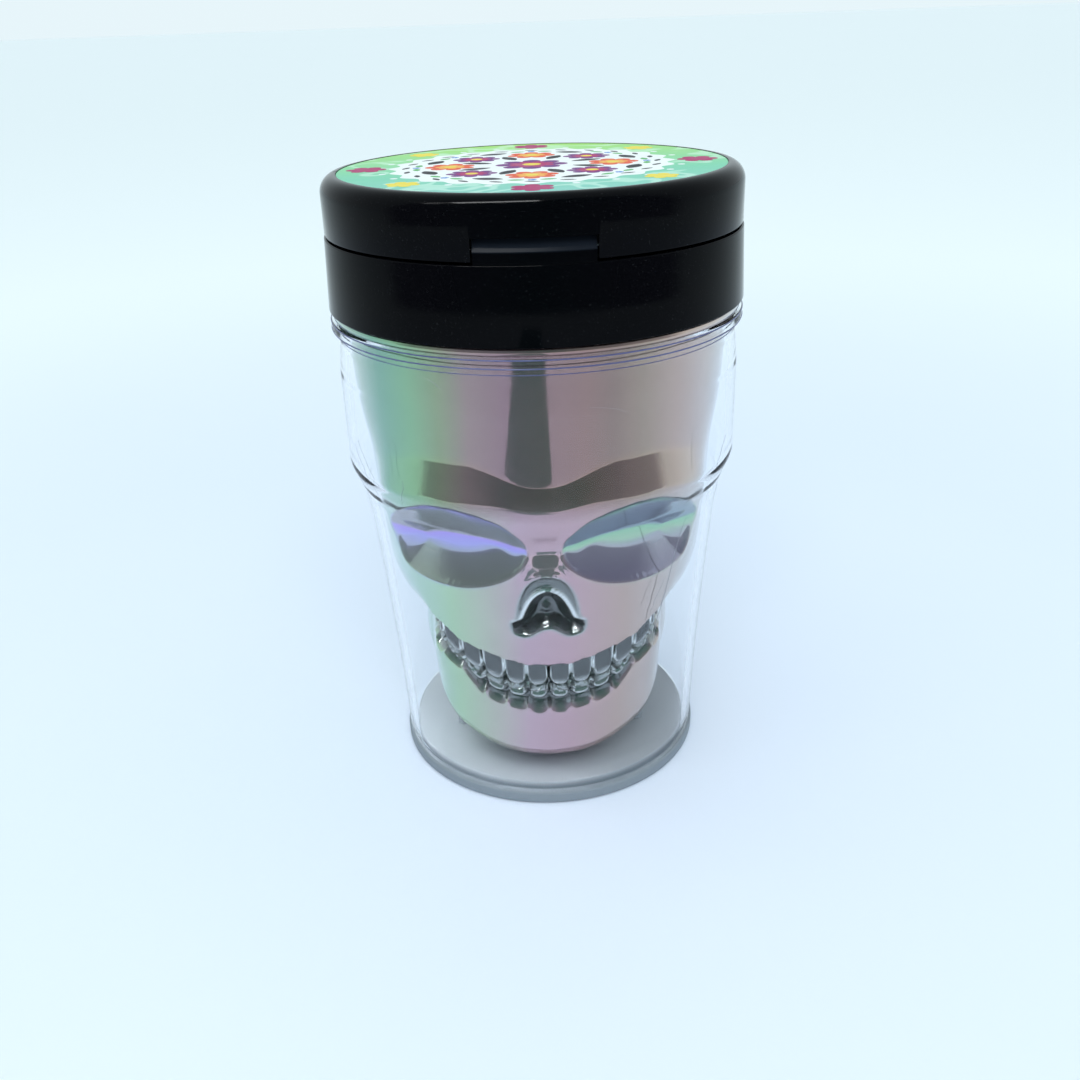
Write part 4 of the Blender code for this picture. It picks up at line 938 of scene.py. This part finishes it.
# ---- inside ------------------------------------------------------------------------------------
def make_inside(finish):
    steel, screw_steel, rubber = finish["snuffer_funnel"], finish["hinge_pin"], finish["seal_ring"]
    matt_black, grey, lens_clear = finish["lid_inner_cap"], finish["switch_plunger"], finish["led_lens"]
    funnel = [(30.0, 114.7, 0.4), (34.0, 114.7, 0.25), (34.0, 113.9, 0.25), (30.6, 113.9, 0.8)]
    funnel += [(13.0, 104.1, 2.5), (13.0, 99.1, 0.25), (12.2, 99.1, 0.25), (12.2, 104.4, 2.5)]
    place(lathe("spun_funnel", rounded(funnel), 192), "collar", steel, "snuffer_funnel", slot="steel")
    seal = [(35.9, 112.6, 0.3), (37.1, 112.6, 0.3), (37.1, 111.6, 0.3), (35.9, 111.6, 0.3)]
    place(lathe("neck_seal", rounded(seal), 192), "seal", rubber, "seal_ring", slot="silicone")
    gasket = [(35.8, 117.7, 0.2), (37.4, 117.7, 0.2), (37.4, 116.6, 0.5), (35.8, 116.6, 0.5)]
    place(lathe("cap_gasket", rounded(gasket), 192), "lid", rubber, "lid_gasket", slot="silicone")
    pin = bar("hinge_rod", PIN_R, (-13.4, PIN_Y, PIN_Z), (13.4, PIN_Y, PIN_Z), 40, 0.25)
    place(pin, "collar", screw_steel, "hinge_pin", slot="steel")

    cap = [(0.0, INNER_CAP_TOP_Z), (INNER_CAP_R, INNER_CAP_TOP_Z, 0.2), (INNER_CAP_R, 117.0, 0.35)]
    cap += [(37.6, 117.0, 0.1), (37.6, 117.8, 0.1), (35.6, 117.8, 0.1), (35.6, 117.0, 0.1), (0.0, 117.0)]
    cap = lathe("cap_plate", rounded(cap, 3), 192, closed=False)
    holes = [(0.0, CELL_Y, DOOR_R + 0.3, 96), (0.0, 0.0, 3.6, 48), (0.0, PLUNGER_Y, 1.4, 32)]
    for x, y, r, steps in holes + [(x, y, 1.35, 24) for x, y in BOSSES]:
        cut(cap, bar("hole", r, (x, y, 116.0), (x, y, 120.0), steps))
    place(cap, "lid", matt_black, "lid_inner_cap", slot="black_plastic")
    door = bar("cell_door", DOOR_R, (0, CELL_Y, 117.0), (0, CELL_Y, 118.4), 128, 0.2)
    cut(door, block("slot", (-5.5, CELL_Y - 0.8, 116.0), (5.5, CELL_Y + 0.8, 117.6), 0.15, 2))
    place(door, "battery_door", matt_black, "battery_door", slot="black_plastic")
    cell = bar("cell_can", 10.0, (0, CELL_Y, 119.1), (0, CELL_Y, 122.3), 128, 0.35)
    place(cell, "lid", steel, "coin_cell", slot="steel")
    dome = [(0.0, 119.25), (4.6, 119.25), (4.6, 118.75), (LENS_R, 118.75), (LENS_R, 117.0)]
    turns = [math.pi / 2 * k / 10 for k in range(1, 10)]
    dome += [(LENS_R * math.cos(a), 117.0 - 1.2 * math.sin(a)) for a in turns]
    lens = lathe("lens_dome", dome + [(0.0, 115.8)], 96, closed=False)
    place(lens, "lid", lens_clear, "led_lens", slot="lens_plastic")
    for i, (x, y) in enumerate(BOSSES, start=1):
        shape = [(0.0, 121.5), (0.7, 121.5), (1.05, 120.9), (1.05, 116.9), (2.3, 116.9), (2.3, 116.7)]
        shape += [(2.05, 116.15), (1.6, 115.84), (1.2, 115.8), (0.0, 115.8)]
        screw = lathe(f"cap_screw_{i}", shape, 48, closed=False, centre=(x, y))
        cut(screw, block("slot", (x - 1.4, y - 0.25, 115.0), (x + 1.4, y + 0.25, 116.3)))
        cut(screw, block("slot", (x - 0.25, y - 1.4, 115.0), (x + 0.25, y + 1.4, 116.3)))
        place(screw, "lid", screw_steel, f"inner_cap_screw_{i}", slot="steel")
    plunger = bar("plunger_rod", 1.1, (0, PLUNGER_Y, 114.85), (0, PLUNGER_Y, 119.15), 40, 0.35)
    place(plunger, "switch_plunger", grey, "switch_plunger", slot="plunger_plastic")


# ---- stage -----------------------------------------------------------------------------------
ROOM_R = 0.62  # metres, of the dark room hidden from the camera, diffuse, shadow and volume rays


def make_stage():
    scene = bpy.context.scene
    scene.view_settings.view_transform = "Standard"
    scene.view_settings.look = "None"
    world = bpy.data.worlds.new("studio")
    scene.world = world
    world.use_nodes = True
    sky = world.node_tree.nodes["Background"]
    sky.inputs["Color"].default_value = (0.835, 0.955, 1.0, 1.0)
    sky.inputs["Strength"].default_value = 0.96
    bm = bmesh.new()
    bmesh.ops.create_grid(bm, x_segments=1, y_segments=1, size=60.0)
    floor = link("floor", mesh_from("floor", bm))
    floor.location.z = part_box("base_cap")[0].z - 0.0002
    paper = Shader("pale_floor", Roughness=0.55)
    near = paper.mix(paper.noise(9, 2), (0.755, 0.825, 0.955), (0.785, 0.845, 0.965))
    reach = paper.node("ShaderNodeVectorMath", {0: paper.coords()}, operation="LENGTH").outputs["Value"]
    away = paper.span(reach, 0.18, 0.60, smooth=True)
    paper.feed(paper.mix(away, near, (0.93, 0.985, 1.0)), "Base Color")
    floor.data.materials.append(paper.mat)

    target = Vector((0, 0, 0.1))
    lamps = (
        ("softbox", (-0.24, -0.20, 0.60), 4.2, (0.52, 0.06), False),
        ("fill", (0.0, -0.75, 0.85), 4.5, (0.7, 0.5), True),
    )
    for name, spot, power, (wide, tall), fills in lamps:
        lamp = bpy.data.lights.new(name, "AREA")
        lamp.energy = power
        lamp.shape = "RECTANGLE"
        lamp.size, lamp.size_y = wide, tall
        lamp.color = (0.97, 0.99, 1.0)
        holder = bpy.data.objects.new(name, lamp)
        scene.collection.objects.link(holder)
        holder.location = spot
        toward = target - holder.location
        holder.rotation_euler = (math.atan2(toward.y, -toward.z), 0.0, 0.0)
        holder.visible_diffuse = fills
        holder.visible_glossy = not fills
        holder.visible_transmission = not fills

    # a dark room in front, fading out at its sides, and a dark strip on the floor, hidden from the camera,
    # diffuse, shadow and volume rays: they show in reflections and through the clear parts
    bm = bmesh.new()
    rings = []
    for i in range(17):
        rise = math.radians(-9 + 79 * i / 16)
        ring = []
        for k in range(49):
            around = math.radians(-86 + 172 * k / 48)
            spot = (math.sin(around) * math.cos(rise), -math.cos(around) * math.cos(rise), math.sin(rise))
            ring.append(bm.verts.new([ROOM_R * c + o for c, o in zip(spot, (0.0, 0.0, 0.098))]))
        rings.append(ring)
    for a, b in zip(rings, rings[1:]):
        for k in range(48):
            bm.faces.new((a[k], a[k + 1], b[k + 1], b[k]))
    room = link("card_room", mesh_from("card_room", bm))
    bm = bmesh.new()
    bmesh.ops.create_grid(bm, x_segments=1, y_segments=1, size=0.5)
    strip = link("card_strip", mesh_from("card_strip", bm))
    strip.scale = (0.075, 0.33, 1)
    strip.location = (-0.022, -0.311, 0.001)
    dim = Shader("card_room", Roughness=0.9)
    across = dim.math("ABSOLUTE", dim.node("ShaderNodeSeparateXYZ", {0: dim.coords()}).outputs["X"])
    greys = [(0.0, (0.09, 0.20, 0.16)), (1.0, (0.34, 0.31, 0.36))]
    dim.feed(dim.ramp(dim.span(across, 0.06, 0.50), greys), "Base Color")
    depth = dim.node("ShaderNodeSeparateXYZ", {0: dim.coords()}).outputs["Y"]
    gone = dim.node("ShaderNodeBsdfTransparent").outputs[0]
    soft = {0: dim.span(depth, -0.22, -0.06, smooth=True), 1: dim.bsdf.outputs[0], 2: gone}
    dim.tree.links.new(dim.node("ShaderNodeMixShader", soft).outputs[0], dim.out.inputs["Surface"])
    dark = plain("card_strip", (0.12, 0.26, 0.24), 0.9, variation=0.05, scale=4)
    for card, finish in ((room, dim.mat), (strip, dark)):
        card.data.materials.append(finish)
        card.visible_camera = False
        card.visible_diffuse = False
        card.visible_shadow = False
        card.visible_volume_scatter = False


def make_camera():
    """A view from the front, 25.65 degrees down, with a slight roll."""
    pitch, roll, yaw = 0.4477079, -0.0352890, -0.0043206
    ahead = Vector((math.sin(yaw) * math.cos(pitch), math.cos(yaw) * math.cos(pitch), -math.sin(pitch)))
    right = Vector((math.cos(yaw), -math.sin(yaw), 0.0))
    up = right.cross(ahead)
    rolled_right = right * math.cos(roll) + up * math.sin(roll)
    rolled_up = up * math.cos(roll) - right * math.sin(roll)
    data = bpy.data.cameras.new("camera")
    data.sensor_width = 36.0
    data.lens = 36.194
    data.clip_start = 0.01
    camera = bpy.data.objects.new("camera", data)
    bpy.context.scene.collection.objects.link(camera)
    rotation = Matrix((rolled_right, rolled_up, -ahead)).transposed().to_4x4()
    camera.matrix_world = Matrix.Translation((0.0, -0.217767, 0.150660)) @ rotation
    bpy.context.scene.camera = camera


def main():
    make_camera()
    make_stage()
    black = black_plastic()
    make_cup(clear_plastic("clear_styrene", (0.985, 0.992, 1.0)))
    make_base(frosted_plastic())
    make_skull(pearl_chrome())
    make_collar(black)
    make_lid(black)

    steel = turned_metal("spun_steel", (0.60, 0.60, 0.61), 0.26)
    screw_steel = plain("screw_steel", (0.50, 0.50, 0.52), 0.3, metallic=1.0, scale=900)
    brass = plain("contact_brass", (0.72, 0.55, 0.28), 0.3, metallic=1.0, scale=500)
    rubber = plain("silicone_rubber", (0.70, 0.71, 0.71), 0.62, variation=0.05, scale=300)
    matt_black = plain("inner_cap_black", (0.014, 0.014, 0.016), 0.42, variation=0.10, scale=420)
    board = plain("solder_mask", (0.02, 0.14, 0.05), 0.35, variation=0.2, scale=700)
    led = plain("led_phosphor", (0.90, 0.82, 0.42), 0.5, variation=0.06, scale=900)
    grey = plain("plunger_grey", (0.42, 0.42, 0.43), 0.45, variation=0.06, scale=500)
    lens = clear_plastic("lens_clear", (0.97, 0.98, 1.0), 0.12, ior=1.46, scratches=False)
    finishes = {
        "snuffer_funnel": steel,
        "hinge_pin": screw_steel,
        "coin_cell": steel,
        "switch_spring": screw_steel,
        "contact_positive": brass,
        "contact_negative": brass,
        "seal_ring": rubber,
        "lid_gasket": rubber,
        "lid_inner_cap": matt_black,
        "battery_door": matt_black,
        "switch_body": matt_black,
        "switch_plunger": grey,
        "circuit_board": board,
        "led_chip": led,
        "led_lens": lens,
    }
    for i in range(1, 5):
        finishes[f"inner_cap_screw_{i}"] = screw_steel
    make_label()
    make_inside(finishes)
    kept = ("switch_spring", "contact_positive", "contact_negative", "switch_body", "circuit_board", "led_chip")
    for name in kept:
        obj = nodes[name]
        obj.data.materials.clear()
        obj.data.materials.append(finishes[name])


main()
